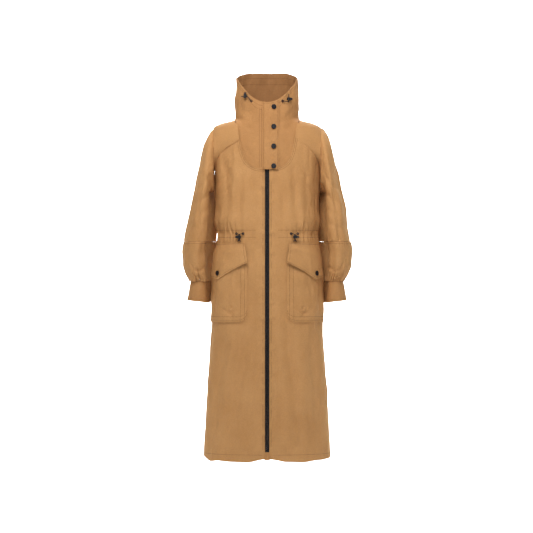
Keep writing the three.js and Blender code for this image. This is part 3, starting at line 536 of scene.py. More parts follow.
camel = clothMaterial("camelCloth", (0.53, 0.275, 0.105, 1), (0.47, 0.235, 0.085, 1))
camelTrim = clothMaterial("camelTrim", (0.47, 0.232, 0.084, 1), (0.42, 0.2, 0.07, 1))
# the same camel cloth made darker: painted shade on the coat's inner faces and on the collar facing
lining = clothMaterial("lining", (0.33, 0.155, 0.055, 1), (0.28, 0.125, 0.043, 1), sheen=0.15)
# stitching thread much darker than the cloth: real stitches, whose colour also paints the shade of the seam
# ditches
darkThreadForSeamShade = clothMaterial("thread", (0.2, 0.085, 0.028, 1), (0.16, 0.065, 0.02, 1), sheen=0.0)
tapeMaterial = strandMaterial("zipTape", (0.007, 0.0065, 0.0075, 1))
cordMaterial = strandMaterial("cordBraid", (0.006, 0.006, 0.007, 1), 1400.0)
blackMetal = hardMaterial("blackMetal", (0.012, 0.011, 0.012, 1), 0.34, 0.3, 0.15)
blackPlastic = hardMaterial("blackPlastic", (0.009, 0.009, 0.01, 1), 0.44, 0.0, 0.05)
teethMaterial = hardMaterial("zipTeeth", (0.02, 0.019, 0.021, 1), 0.38, 0.1)

# the camera looks level at the coat's middle from ten metres
cameraData = bpy.data.cameras.new("camera")
cameraData.lens, cameraData.sensor_width = 200.0, 36.0
camera = bpy.data.objects.new("camera", cameraData)
bpy.context.scene.collection.objects.link(camera)
camera.location = toRow([-2.0, -130.0 - 9920.0, 652.0])
camera.rotation_euler = (math.pi / 2, 0, 0)
bpy.context.scene.camera = camera
bpy.context.scene.view_settings.view_transform = "Standard"
print("camera and materials ready")

# a pale studio sweep: floor, curve and back wall in one surface, with room to walk round behind the coat
sweepAcross = np.linspace(-9, 9, 7) / mm
sweepFoot = 16000
sweepRun = [(-9000, -330), (-3000, -330), (600, -330), (sweepFoot, -330)]
for step in range(1, 13):
    turn = math.pi / 2 * step / 12
    sweepRun.append((sweepFoot + 1500 * math.sin(turn), -330 + 1500 * (1 - math.cos(turn))))
sweepRun.append((sweepFoot + 1500, 9500))
sweep = np.array([[(x, y, z) for x in sweepAcross] for y, z in sweepRun])
index = np.arange(sweep.size // 3).reshape(sweep.shape[:2])
sweepFaces = np.stack([index[:-1, :-1], index[:-1, 1:], index[1:, 1:], index[1:, :-1]], -1).reshape(-1, 4)
backdropMaterial, _, backdropShader = nodeMaterial("backdrop")
backdropShader.inputs["Base Color"].default_value = (0.93, 0.93, 0.93, 1)
backdropShader.inputs["Roughness"].default_value = 0.9
backdropShader.inputs["Specular IOR Level"].default_value = 0.1
backdrop = meshFrom("backdrop", sweep.reshape(-1, 3), sweepFaces.tolist(), [backdropMaterial])


def areaLight(name, place, aim, size, power, color=(1, 1, 1)):
    # a rectangle of light at a place, turned to face its aim
    data = bpy.data.lights.new(name, "AREA")
    data.shape, data.size, data.size_y = "RECTANGLE", size[0], size[1]
    data.energy, data.color = power, color
    lamp = bpy.data.objects.new(name, data)
    bpy.context.scene.collection.objects.link(lamp)
    lamp.location = toRow(place)
    heading = Vector(toRow(aim) - toRow(place))
    lamp.rotation_euler = heading.to_track_quat("-Z", "Y").to_euler()
    return lamp


areaLight("key", (-300, -1350, 2500), (0, 0, 1050), (1.1, 1.1), 37)
areaLight("fill", (550, -1600, 2400), (0, 0, 1050), (1.2, 1.2), 16)
areaLight("front", (0, -4200, 1500), (0, 0, 800), (1.2, 1.0), 8)
areaLight("wall", (0, 13000, 5200), (0, 17500, 1200), (9, 2), 2200)
areaLight("farFloor", (0, 9500, 5200), (0, 9500, -330), (8, 8), 1800)
areaLight("nearFloor", (0, 2900, 3900), (0, 3200, -330), (6, 2), 240)
world = bpy.data.worlds.new("studio")
bpy.context.scene.world = world
world.use_nodes = True
world.node_tree.nodes["Background"].inputs[0].default_value = (1, 1, 1, 1)
world.node_tree.nodes["Background"].inputs[1].default_value = 0.17

# seams of the body
placketBottom = frontRimHeight - 228.0
zipHalfOpening = 7.2
armholeTop, armholeBottom = neckHeight - 22, neckHeight - 244
collarSeam = np.array([
    (zipHalfOpening, placketBottom + 2), (44, placketBottom + 8), (68, placketBottom + 25),
    (81, placketBottom + 50), (93, placketBottom + 106), (100, armholeTop), (104, neckHeight - 6),
])
seamAngle = np.r_[angleAtX(collarSeam[:, 0], collarSeam[:, 1]), 78, 90, 180]
seamHeight = np.r_[collarSeam[:, 1], neckHeight - 0.5, neckHeight, neckHeight]
collarFootAt = smoothThrough(seamAngle, seamHeight)
seamXAt = smoothThrough(collarSeam[:, 1], collarSeam[:, 0])

# the raglan seam as angle and height, once round the sleeve from the side of the neck by the front
raglan = np.array([
    (0, 90, 1148), (12, 60, 1142), (25, 38, 1127), (38, 30, 1084), (60, 50.5, 1049), (82, 69, 1013),
    (104, 82, 984), (140, 89.7, 940), (180, 90, armholeBottom), (220, 90.3, 940), (256, 98, 984),
    (278, 111, 1014), (300, 126, 1056), (322, 145, 1118), (335, 149, 1147.5), (348, 120, 1148.5),
    (360, 90, 1148),
])
raglanAngleAt = smoothThrough(raglan[:, 0], raglan[:, 1])
raglanHeightAt = smoothThrough(raglan[:, 0], raglan[:, 2])
frontRaglan = raglan[3:9][::-1]
frontLimitAt = smoothThrough(frontRaglan[:, 2], frontRaglan[:, 1])
backRaglan = raglan[8:15]
backLimitAt = smoothThrough(backRaglan[:, 2], backRaglan[:, 1])


def shown(points, relief, closed=False, sign=1.0):
    # moves a grid along its own normals by the relief
    return points + gridNormals(points, closed) * relief[..., None] * sign


def outwardSign(points):
    # 1 if a grid faces away from the middle line, -1 if it faces in
    normals = gridNormals(points, False)
    away = points.copy()
    away[..., 2] = 0
    return 1.0 if (normals * away).sum() > 0 else -1.0


def hemWave(angle, height):
    # the hem waves a little and is drawn up at the sides
    turn = np.abs((angle + 180) % 360 - 180)
    wave = 3.2 * softNoise(angle / 16 + 50, 0 * angle + 3)
    return (wave + 13 * np.exp(-((turn - 92) / 26) ** 2)) * ease(1 - height / 130)


def frontPanel(side):
    # rows up the front edge and on along the collar seam, columns from that edge to the side seam
    heights = np.r_[np.linspace(0, placketBottom, 236), np.linspace(placketBottom + 3, 1083.6, 40)]
    share = np.linspace(0, 1, 96)
    share = 0.35 * share + 0.65 * share ** 1.4
    rowX = np.where(heights < placketBottom + 2, zipHalfOpening, seamXAt(heights))
    inner = angleAtX(rowX, heights)
    outer = np.where(heights < armholeBottom, 90, frontLimitAt(np.maximum(heights, armholeBottom)))
    angle = inner[:, None] + (outer - inner)[:, None] * share[None]
    height = heights[:, None] + 0 * angle
    sag = hemWave(side * angle, height)
    points = bodyPoint(side * angle, height + sag, 0 * angle)
    relief = bodyRelief(side * angle, height)
    nearSeam = ease(np.abs(outer[:, None] - angle) / 3 + 0.25)
    relief = relief * nearSeam
    return shown(points, relief, sign=outwardSign(points))


def backPanel():
    # rows up the back, columns from one side seam round to the other, pushed out by the folds
    heights = np.r_[np.linspace(0, armholeBottom, 212), np.linspace(armholeBottom + 4, neckHeight - 0.4, 60)]
    start = np.where(heights < armholeBottom, 90, backLimitAt(np.maximum(heights, armholeBottom)))
    share = np.linspace(0, 1, 130)
    angle = start[:, None] + (360 - 2 * start)[:, None] * share[None]
    height = heights[:, None] + 0 * angle
    sag = hemWave(angle, height)
    points = bodyPoint(angle, height + sag, 0 * angle)
    relief = bodyRelief(angle, height) * ease(np.minimum(share, 1 - share) * 12 + 0.2)[None]
    return shown(points, relief, sign=outwardSign(points))


sideRimRise, backRimRise = 86.0, 106.0


def rimHeight(angle):
    # the neck edge: front height plus a rise with the square of the distance across, then eased up to the back
    turn = np.abs((np.asarray(angle, float) + 180) % 360 - 180)
    share = np.abs(np.sin(np.radians(np.minimum(turn, 90)))) ** (2 / 2.2)
    ahead = frontRimHeight + sideRimRise * share ** 2
    behind = frontRimHeight + mix(sideRimRise, backRimRise, ease((turn - 90) / 60))
    return np.where(turn < 90, ahead, behind)


def rimAtX(x):
    # height of the neck edge at a distance across
    return rimHeight(np.abs(angleAtX(x, neckHeight + 30)))


def collarGrid(offset, foot=None, top=0.0, rows=64, columns=220, edge=zipHalfOpening):
    # rows from the collar seam up to the neck edge, columns from one front edge round to the other
    share = np.linspace(0, 1, columns)[None]
    level = np.linspace(0, 1, rows)[:, None]
    start = angleAtX(edge, 1000.0)
    angle = start + (360 - 2 * start) * share
    turn = np.abs((angle + 180) % 360 - 180)
    bottom = collarFootAt(turn) + 0.4 - 4 * ease((turn - 50) / 20) if foot is None else foot + 0 * turn
    height = bottom + (rimHeight(angle) - top - bottom) * level
    # the front edge stays straight while the neck narrows
    lean = angleAtX(edge, height) - start
    angle = angle + lean * (1 - share * 2)
    points = bodyPoint(angle, height, offset + 0 * height)
    relief = collarRelief(angle, height) * ease(level * 5 + 0.15)
    return shown(points, relief, sign=outwardSign(points)), angle, height


panelLook = {"thickness": 1.7}
collarLook = {"thickness": 1.6, "facingThickness": 1.4, "facingDepth": -2.6}
bodyCloths = {}
for sideName, side in (("right", -1), ("left", 1)):
    grid = frontPanel(side)
    panel = clothSheet(f"{sideName}FrontPanel", grid, panelLook["thickness"], [camel, lining])
    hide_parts(f"{sideName}_front_panel")
    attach(panel, "coat")
    bodyCloths[sideName] = (panel, grid)
backGrid = backPanel()
backPiece = clothSheet("backPanel", backGrid, panelLook["thickness"], [camel, lining])
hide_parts("back_panel", "waist_casing")
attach(backPiece, "coat")
collarPoints = collarGrid(0.0)[0]
collarPiece = clothSheet("collarPanel", collarPoints, collarLook["thickness"], [camelTrim, lining])
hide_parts("collar")
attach(collarPiece, "coat")
facingPoints = collarGrid(collarLook["facingDepth"], foot=neckHeight + 8, top=1.2,
                          rows=30, columns=150, edge=17.0)[0]
# the collar facing is all darker camel: painted shade inside the neck
facingPiece = clothSheet("collarFacing", facingPoints, collarLook["facingThickness"], [lining, lining])
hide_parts("collar_facing")
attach(facingPiece, "coat")
print("body and collar ready")

# sleeves: distance from the centre and drop below the neck of the inner and outer edge in the
# front view, half depth, and how far forward the sleeve hangs
sleeveStations = np.array([
    (181, 243, 181, 27, 66, -4), (185, 244, 192, 37, 76, -2), (187, 246, 208, 66, 82, 0),
    (188, 249, 223, 114, 85, 2), (188, 256, 236, 174, 86, 4), (187, 269, 247, 231, 86, 6),
    (186, 299, 260, 287, 84, 8), (186, 354, 272, 354, 83, 10), (190, 412, 282, 412, 82, 12),
    (194, 449, 288, 454, 82, 13), (196, 484, 288, 489, 79, 14), (198, 517, 277, 519, 68, 15),
    (199, 537, 264, 537, 56, 16), (200, 547, 259, 545, 49, 16),
], float)
elbowStation = 8.0
lastStation = 13.0
stationAt = [smoothThrough(np.arange(14), sleeveStations[:, k]) for k in range(6)]


def ovalPoints(turn, inner, outer, halfDepth, forward):
    # an oval whose inner and outer ends are given in the front view; turn 90 is its front
    c, s = np.cos(np.radians(turn)), np.sin(np.radians(turn))
    x = (inner[0] + outer[0]) / 2 + (outer[0] - inner[0]) / 2 * c
    z = (inner[1] + outer[1]) / 2 + (outer[1] - inner[1]) / 2 * c
    return np.stack([x + 0 * turn, -forward - s * halfDepth, z + 0 * turn], -1)


def sleeveRing(turn, station):
    # one oval round the sleeve, its size blended between the stations
    innerX, innerDrop, outerX, outerDrop, depth, forward = [at(station) for at in stationAt]
    inner, outer = (innerX, neckHeight - innerDrop), (outerX, neckHeight - outerDrop)
    return ovalPoints(turn, inner, outer, depth, forward)


def skinAngleOf(y, height):
    # the angle of the body's section at a depth, from the superellipse turned round
    depth = np.where(y < 0, frontAt(height), backAt(height))
    share = np.minimum(1, np.abs(y) / depth) ** (squareAt(height) / 2)
    return np.degrees(np.arccos(np.where(y < 0, share, -share)))


def sleeveHeadRows(turn, rows):
    # from the raglan seam to the first ring: angle, height and lift off the body all run across
    first = sleeveRing(turn, 0.0)
    endAngle, endHeight = skinAngleOf(first[..., 1], first[..., 2]), first[..., 2]
    onBody = skin(endAngle, endHeight)
    lift = ((first - onBody) * skinNormal(endAngle, endHeight)).sum(-1)
    rest = first - bodyPoint(endAngle, endHeight, lift)
    startAngle, startHeight = raglanAngleAt(turn % 360), raglanHeightAt(turn % 360)
    lines = []
    for share in np.linspace(0, 1, rows, endpoint=False):
        bend = ease(share)
        angle = mix(startAngle, endAngle, share)
        height = mix(startHeight, endHeight, share)
        lines.append(bodyPoint(angle, height, 0.6 + 1.2 * ease(share * 6) + lift * bend) + rest * bend)
    return np.array(lines)


tuckAt = smoothThrough([0, 0.6, 2, 5, 7, 9, 11, 13], [0, 0, 18, 24, 33, 32, 25, 20])


def tucked(points, turn, reach):
    # the inner back of a sleeve lies in behind the side of the body
    behind = np.exp(-((turn - 228) / 27) ** 2)
    ahead = 0.45 * np.exp(-((turn - 170) / 26) ** 2)
    return points - np.stack([reach * (behind - ahead), 0 * behind, 0 * behind], -1)


def sleeveGrid(side, rings, turns):
    # the ovals of a sleeve at each station, mirrored to its side
    rows = [tucked(sleeveRing(turns, ring), turns, tuckAt(ring)) for ring in rings]
    return np.array(rows) * np.array([side, 1, 1])


def foldWave(turn, rate, drift):
    # a sine round the sleeve, its strength changed by soft noise
    strength = 0.65 + 0.5 * softNoise(turn / 360 * 23 + drift, 0 * turn)
    return np.sin(np.radians(turn) * rate + drift) * strength


def pleats(turn, rate, drift):
    # rounded ridges with narrow valleys between them, unevenly spread round a sleeve
    at = np.radians(turn) * rate / 2 + drift + 1.5 * softNoise(turn / 360 * 9 + drift, 0 * turn)
    return -(1 - np.abs(np.sin(at))) ** 1.6 * (0.75 + 0.45 * softNoise(turn / 360 * 17 + drift, 0 * turn))


def upperSleeveRelief(side, points, turn, station):
    # soft noise, slack folds in front, waves behind, and small gathers at the elbow seam
    x, z = np.abs(points[..., 0]), points[..., 2]
    ahead = ease(np.sin(np.radians(turn)) * 2.5 + 0.4)
    out = 2.6 * softNoise(turn / 360 * 14 + 3 * side, z / 95)
    out = out + 0.8 * softNoise(turn / 360 * 40, z / 33 + side)
    # long slack folds from the shoulder, and drag lines into the underarm
    front = crease(x, z, [(214, 1040), (226, 930), (232, 800)], 12, -4.5)
    front = front + crease(x, z, [(240, 980), (252, 880), (262, 760)], 11, -3)
    front = front + crease(x, z, [(190, 965), (214, 930), (244, 912)], 8, -3.4)
    front = front + crease(x, z, [(190, 905), (214, 878), (240, 866)], 8, -3.0)
    front = front + crease(x, z, [(192, 850), (218, 832), (246, 828)], 8, -2.2)
    front = front + crease(x, z, [(206, 800), (236, 782), (268, 786)], 8, -2.2)
    front = front + crease(x, z, [(130, 1090), (160, 1082), (186, 1060)], 9, -2.0)
    out = out + ahead * front + (1 - ahead) * 2.2 * foldWave(turn, 5, side) * ease(station / 2)
    # small gathers where the lower sleeve's fullness is taken in at the elbow seam
    near = np.exp(-np.maximum(0, elbowStation - station) / 0.35)
    out = out + 0.7 * near * foldWave(turn, 34, 1.0)
    return out * ease(station / 0.8 + 0.12) * (1 - 0.8 * np.exp(-((station - elbowStation) / 0.05) ** 2))


def lowerSleeveRelief(side, points, turn, station):
    # soft noise, slack folds and arcs in front, and pleats that deepen towards the cuff
    x, z = np.abs(points[..., 0]), points[..., 2]
    ahead = ease(np.sin(np.radians(turn)) * 2.5 + 0.4)
    down = (station - elbowStation) / (lastStation - elbowStation)
    out = 2.4 * softNoise(turn / 360 * 15 + 6 * side, z / 60 + 4)
    front = crease(x, z, [(214, 726), (222, 680), (214, 640)], 10, -4)
    front = front + crease(x, z, [(256, 720), (264, 680), (256, 644)], 10, -3.4)
    front = front + crease(x, z, [(236, 700), (242, 668), (236, 640)], 9, -2.4)
    # slack cloth lies in arcs over the cuff
    front = front + crease(x, z, [(206, 652), (224, 636), (246, 640), (262, 662)], 5, -5.0)
    front = front + crease(x, z, [(212, 628), (232, 616), (250, 620), (266, 634)], 4, -3.6)
    front = front + crease(x, z, [(268, 700), (272, 660), (262, 628)], 5, -3.6)
    out = out + ahead * front * (1 - 0.4 * down)
    gather = ease((down - 0.35) / 0.6)
    out = out + gather * (9.5 * pleats(turn, 22, 0.7 * side) + 3.2)
    out = out + gather ** 2 * 3.2 * pleats(turn, 46, 2.0 + side)
    out = out + 1.0 * np.exp(-down / 0.08) * foldWave(turn, 30, 0.4)
    out = out - 1.6 * np.exp(-((down - 1) / 0.05) ** 2)
    return out * (1 - 0.75 * np.exp(-(down / 0.012) ** 2))


def onSleeve(points, relief):
    # a tube of points moved along its outward direction by a relief
    normals = gridNormals(points, True)
    middle = points.mean(1, keepdims=True)
    sign = 1.0 if (normals * (points - middle)).sum() > 0 else -1.0
    return points + normals * relief[..., None] * sign


def cutSize(points, closed=False):
    # the longest row, the longest column and the surface of a grid are a cloth's flat width, length and area
    ring = np.concatenate([points, points[:, :1]], 1) if closed else points
    width = np.linalg.norm(np.diff(ring, axis=1), axis=-1).sum(1).max() * mm
    length = np.linalg.norm(np.diff(ring, axis=0), axis=-1).sum(0).max() * mm
    diagonals = np.cross(ring[1:, 1:] - ring[:-1, :-1], ring[1:, :-1] - ring[:-1, 1:])
    area = 0.5 * np.linalg.norm(diagonals, axis=-1).sum() * mm * mm
    return width, length, min(area, width * length)


def cloth(piece, points, held, *restsOn, closed=False):
    # prints a piece's flat size from its own grid, with how it is held
    width, length, area = cutSize(points, closed)
    print(f"{piece.name}: {width:.3f} x {length:.3f} m, {area:.4f} m2, {held}")


def closedCloth(name, points, thickness, materials):
    # a sleeve's tube: the sheet turned outward from its own middle line
    return clothSheet(name, points, thickness, materials, True, points.mean(1, keepdims=True) * [1, 1, 0])


turns = np.linspace(0, 360, 250, endpoint=False)
sleeveLook = {"thickness": 1.5, "bendStart": (150, 930), "bendEnd": (235, 900)}
cuffLook = {"thickness": 2.6, "length": 71.7, "overlap": 5}
sleeveGrids = {}
for sideName, side in (("right", -1), ("left", 1)):
    upperStations = np.linspace(0, elbowStation, 118)
    body = sleeveGrid(side, upperStations, turns)
    headRows = sleeveHeadRows(turns, 26) * [side, 1, 1]
    upper = np.concatenate([headRows, body])
    station = np.r_[np.linspace(-1, 0, 26, endpoint=False), upperStations][:, None] + 0 * turns[None]
    relief = upperSleeveRelief(side, upper, turns[None] + 0 * station, station)
    upper = onSleeve(upper, relief)
    lowerStations = np.linspace(elbowStation + 0.02, lastStation, 64)
    lower = sleeveGrid(side, lowerStations, turns)
    station = lowerStations[:, None] + 0 * turns[None]
    lower = onSleeve(lower, lowerSleeveRelief(side, lower, turns[None] + 0 * station, station))
    drop = np.linspace(0, 1, 22)
    cuffRows = []
    for share in drop:
        down = share * cuffLook["length"] - cuffLook["overlap"]
        inner = (mix(201, 196, share), neckHeight - 547 - down - share * 6)
        outer = (mix(258, 270, share), neckHeight - 545 - down)
        oval = ovalPoints(turns, inner, outer, mix(48, 52, share), 16)
        cuffRows.append(tucked(oval, turns, mix(20, 13, share)))
    cuffPoints = np.array(cuffRows) * [side, 1, 1]
    level = drop[:, None] + 0 * turns[None]
    cuffRelief = 1.0 * softNoise(turns[None] / 360 * 12 + side, level * 2) - 0.8 * np.exp(-level / 0.06)
    cuffRelief = cuffRelief + 0.7 * np.exp(-((level - 0.5) / 0.35) ** 2)
    cuffPoints = onSleeve(cuffPoints, cuffRelief)
    sleeveGrids[sideName] = (upper, lower, cuffPoints)
    upperPiece = closedCloth(f"{sideName}UpperSleeve", upper, sleeveLook["thickness"], [camel, lining])
    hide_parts(f"{sideName}_upper_sleeve")
    bendStart, bendEnd = (toRow([side * x, 0, z]) for x, z in (sleeveLook["bendStart"], sleeveLook["bendEnd"]))
    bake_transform(upperPiece)
    lowerPiece = closedCloth(f"{sideName}LowerSleeve", lower, sleeveLook["thickness"], [camel, lining])
    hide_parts(f"{sideName}_lower_sleeve")
    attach(lowerPiece, f"{sideName}_sleeve")
    cuffPiece = closedCloth(f"{sideName}Cuff", cuffPoints, cuffLook["thickness"], [camelTrim, lining])
    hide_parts(f"{sideName}_cuff")
    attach(cuffPiece, f"{sideName}_sleeve")
print("sleeves ready")


def onBody(angle, height, lift, share=1.0):
    # a place above the folded body cloth
    angle, height = np.broadcast_arrays(np.asarray(angle, float), np.asarray(height, float))
    return bodyPoint(angle, height, bodyRelief(angle, height) * share + lift)


placketLook = {"hingeX": -16.0, "lift": 3.4, "thickness": 1.9}
# placket flap: folded on the wearer's right, its free edge on the left
across = np.r_[np.linspace(0, 9, 12), np.linspace(9, 54, 40)[1:]]
lift = mix(0.65, placketLook["lift"] + 0.9, ease(across / 9)) + 0.6 * ease((across - 30) / 24)
level = np.linspace(0, 1, 150)[:, None]
flapX = placketLook["hingeX"] + across[None]
flapHeight = mix(placketBottom, rimAtX(flapX) - 1.5, level)
flapRelief = 0.7 * softNoise(flapX / 14, flapHeight / 30) + 0.35 * softNoise(flapX / 5 + 3, flapHeight / 11)
flapRelief = flapRelief * ease(across / 12)[None]
for k in range(4):
    # the cloth dips a little under each snap
    away = np.hypot(flapX - 22, flapHeight - (frontRimHeight - 17 - 66.5 * k))
    flapRelief = flapRelief - 0.9 * np.exp(-(away / 12) ** 2)
placketGrid = frontPoint(flapX, flapHeight, lift[None] + 1.6 + flapRelief)
placketPiece = clothSheet("placketFlap", placketGrid, placketLook["thickness"], [camelTrim, lining])
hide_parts("placket_flap")
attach(placketPiece, "placket")

# pocket bags and flaps, laid over the folds of the front
pocketFlapTop = waistHeight - 30
pocketTop = pocketFlapTop - 42
pocketBottom = pocketTop - 226
bagLook = {"thickness": 1.8, "standOff": 3.4, "puff": 2.6, "foldShare": 0.85}
pocketFlapLook = {"thickness": 2.0, "standOff": 1.6, "curl": 4.5, "foldShare": 0.6}
pocketGrids = {}


def flapDrop(u):
    # depth of the pocket flap across its width: down to its point, then a little up
    return np.where(u < 0.66, mix(67, 124, u / 0.66), mix(124, 117, (u - 0.66) / 0.34))


for sideName, side in (("right", -1), ("left", 1)):
    u = np.linspace(0, 1, 88)[None]
    v = np.linspace(0, 1, 96)[:, None]
    fromInner = u * (math.radians(97) * 150 - 66)
    inCorner = np.maximum(0, 1 - fromInner / 26)
    foot = pocketBottom + 26 * (1 - np.sqrt(1 - inCorner ** 2))
    height = mix(foot, pocketTop, v)
    angle = mix(angleAtX(66, height), 97, u)
    x = np.abs(skin(angle, height)[..., 0])
    puff = bagLook["puff"] * np.sin(np.pi * np.clip(u, 0, 1)) ** 0.6 * np.sin(np.pi * v * 0.86) ** 0.7
    wrinkle = crease(x, height, [(104, 506), (126, 492), (150, 512)], 5, -3.4)
    wrinkle = wrinkle + crease(x, height, [(112, 482), (128, 500), (132, 516)], 4.5, -2.6)
    wrinkle = wrinkle - 3.4 * np.exp(-(np.hypot(x - 119, height - 514) / 4.5) ** 2)
    wrinkle = wrinkle + crease(x, height, [(172, 566), (176, 498)], 3.4, -4.6)
    wrinkle = wrinkle + crease(x, height, [(84, 620), (92, 560), (86, 500)], 9, -1.5)
    wrinkle = wrinkle + 1.2 * softNoise(x / 30 + 9 * side, height / 34)
    hold = ease(np.minimum(np.minimum(u, 1 - u) * 14, np.minimum(v + 0.02, 1.2 - v) * 10))
    bag = onBody(side * angle, height, bagLook["standOff"] + puff + wrinkle * hold, bagLook["foldShare"])
    bagPiece = clothSheet(f"{sideName}PocketBag", bag, bagLook["thickness"], [camel, lining])
    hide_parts(f"{sideName}_pocket_bag")
    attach(bagPiece, "coat")
    u = np.linspace(0, 1, 84)[None]
    v = np.linspace(0, 1, 64)[:, None]
    height = pocketFlapTop - v * flapDrop(u)
    angle = mix(angleAtX(mix(75, 63, v), height), 79, u)
    x = np.abs(skin(angle, height)[..., 0])
    lift = mix(1.6, 8.2, ease(v / 0.36))
    wrinkle = 1.0 * softNoise(x / 26 + 4 * side, height / 24 + 2)
    wrinkle = wrinkle + crease(x, height, [(96, 706), (128, 676)], 8, -1.2)
    wrinkle = wrinkle - 1.2 * np.exp(-(np.hypot(x - 158, height - 629) / 13) ** 2)
    curl = pocketFlapLook["curl"] * ease((v - 0.35) / 0.6) * (0.35 + 0.65 * ease((0.35 - u) / 0.35))
    lift = lift + pocketFlapLook["standOff"] + curl + wrinkle * ease(v * 4)
    flap = onBody(side * angle, height, lift, pocketFlapLook["foldShare"])
    flapPiece = clothSheet(f"{sideName}PocketFlap", flap, pocketFlapLook["thickness"], [camel, lining])
    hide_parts(f"{sideName}_pocket_flap")
    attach(flapPiece, f"{sideName}_pocket_flap")
    pocketGrids[sideName] = (bag, flap)
print("placket and pockets ready")


# hard pieces
def spun(profile, sides=40):
    # a profile of radius and height turned round the Y axis, its ends closed at the axis
    turn = np.linspace(0, 2 * np.pi, sides, endpoint=False)
    profile = np.asarray(profile, float)
    ring = np.stack([np.cos(turn), 0 * turn, np.sin(turn)], -1)
    points = profile[:, None, :1] * ring[None] + profile[:, 1][:, None, None] * np.array([0, 1, 0])
    index = np.arange(len(profile) * sides).reshape(len(profile), sides)
    ahead = np.roll(index, -1, 1)
    faces = np.stack([index[:-1], index[1:], ahead[1:], ahead[:-1]], -1).reshape(-1, 4).tolist()
    faces += [index[0].tolist(), index[-1, ::-1].tolist()]
    return points.reshape(-1, 3), faces


def seated(points, origin, axis, aside=(0.13, 0.07, 0.99)):
    # turns a piece's Y axis onto the axis and puts its own origin at the place
    axis = unit(np.asarray(axis, float))
    first = unit(np.cross(axis, np.asarray(aside, float)))
    second = np.cross(first, axis)
    basis = np.stack([first, axis, second])
    return np.asarray(points) @ basis + origin


def seatAt(x, height, offset):
    # a place on the front and the direction out of it
    return frontPoint(x, height, offset), skinNormal(angleAtX(x, height), height)


def roundedProfile(radius, low, high, edge, steps=5):
    # a disc or barrel with rounded rims
    turn = np.linspace(0, np.pi / 2, steps)
    foot = [(radius - edge + edge * math.sin(t), low + edge - edge * math.cos(t)) for t in turn]
    head = [(radius - edge + edge * math.cos(t), high - edge + edge * math.sin(t)) for t in turn]
    return [(0.02, low)] + foot + head + [(0.02, high)]


capProfile = roundedProfile(8.5, 0, 2.3, 0.9)[:-1] + [
    (6.4, 2.25), (5.9, 1.75), (5.2, 1.65), (3.0, 1.9), (0.02, 2.0)]
studProfile = roundedProfile(5.0, 0, 0.9, 0.3)[:-1] + [(3.0, 0.95), (3.0, 1.9), (2.6, 2.2), (0.02, 2.2)]
eyeletProfile = [(2.1 + 1.25 + 1.25 * math.cos(t), 0.55 + 0.65 * math.sin(t))
                 for t in np.linspace(0, 2 * np.pi, 17)]


def hardPiece(name, parts, material, body, slotName, *nodes, sharp=35):
    # joins parts into one object with its material and body; slotName is not used
    vertices, faces = joined(parts)
    piece = meshFrom(name, vertices, faces, [material], sharpAngle=sharp)
    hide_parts(*nodes)
    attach(piece, body)
    return piece


def seatedPart(profile, x, height, offset, sides=40):
    # a turned profile set on the front of the coat
    points, faces = spun(profile, sides)
    place, normal = seatAt(x, height, offset)
    return seated(points, place, normal), faces


def ringPart(x, height, offset):
    # an eyelet ring set on the front of the coat
    points, faces = spun(eyeletProfile, 28)
    place, normal = seatAt(x, height, offset)
    return seated(points, place, normal), faces[:-2]


for k in range(4):
    height = frontRimHeight - 17 - 66.5 * k
    hardPiece(f"placketCap{k + 1}", [seatedPart(capProfile, 22, height, 6.6)], blackMetal,
              "placket", "black_metal", f"placket_snap_cap_{k + 1}")
    hardPiece(f"placketStud{k + 1}", [seatedPart(studProfile, 22, height, 0.45, 24)], blackMetal,
              "coat", "black_metal", f"placket_snap_stud_{k + 1}")
for sideName, side in (("right", -1), ("left", 1)):
    hardPiece(f"{sideName}PocketCap", [seatedPart(capProfile, side * 158, 629, 12.0)], blackMetal,
              f"{sideName}_pocket_flap", "black_metal", f"{sideName}_pocket_snap_cap")
    hardPiece(f"{sideName}PocketStud", [seatedPart(studProfile, side * 158, 629, 5.6, 24)], blackMetal,
              "coat", "black_metal", f"{sideName}_pocket_snap_stud")
    rings = [ringPart(side * x, waistHeight, 2.3) for x in (80, 102)]
    hardPiece(f"{sideName}WaistEyelets", rings, blackMetal, "coat", "black_metal",
              f"{sideName}_waist_eyelet_inner", f"{sideName}_waist_eyelet_outer")
    hardPiece(f"{sideName}CollarEyelet", [ringPart(side * 52, frontRimHeight + 3, 0.6)], blackMetal,
              "coat", "black_metal", f"{sideName}_collar_eyelet")

# cord locks and their cords
cordRadius, cordSpacing = 1.3, 3.2
lockRadius, lockLength = 5.2, 14.0
lockLift = lockRadius + 2.6
lockTravel = 4.0
tailSplay, tailSpread = 2.4, 1.3


def lockFrame(x, height, barrelUp, runTowards):
    # a cord lock's middle and its three directions: out of the cloth, along the barrel, along the cords
    angle = angleAtX(x, height)
    normal = skinNormal(angle, height)
    upward = unit(np.array([0, 0, 1.0]) - normal * normal[2])
    sideways = np.sign(x)
    outward = unit(np.array([sideways, 0, 0]) - normal * sideways * normal[0])
    barrel = upward if barrelUp else outward
    run = np.cross(barrel, normal)
    run = -run if run @ np.asarray(runTowards) < 0 else run
    return bodyPoint(angle, height, lockLift), normal, barrel, run


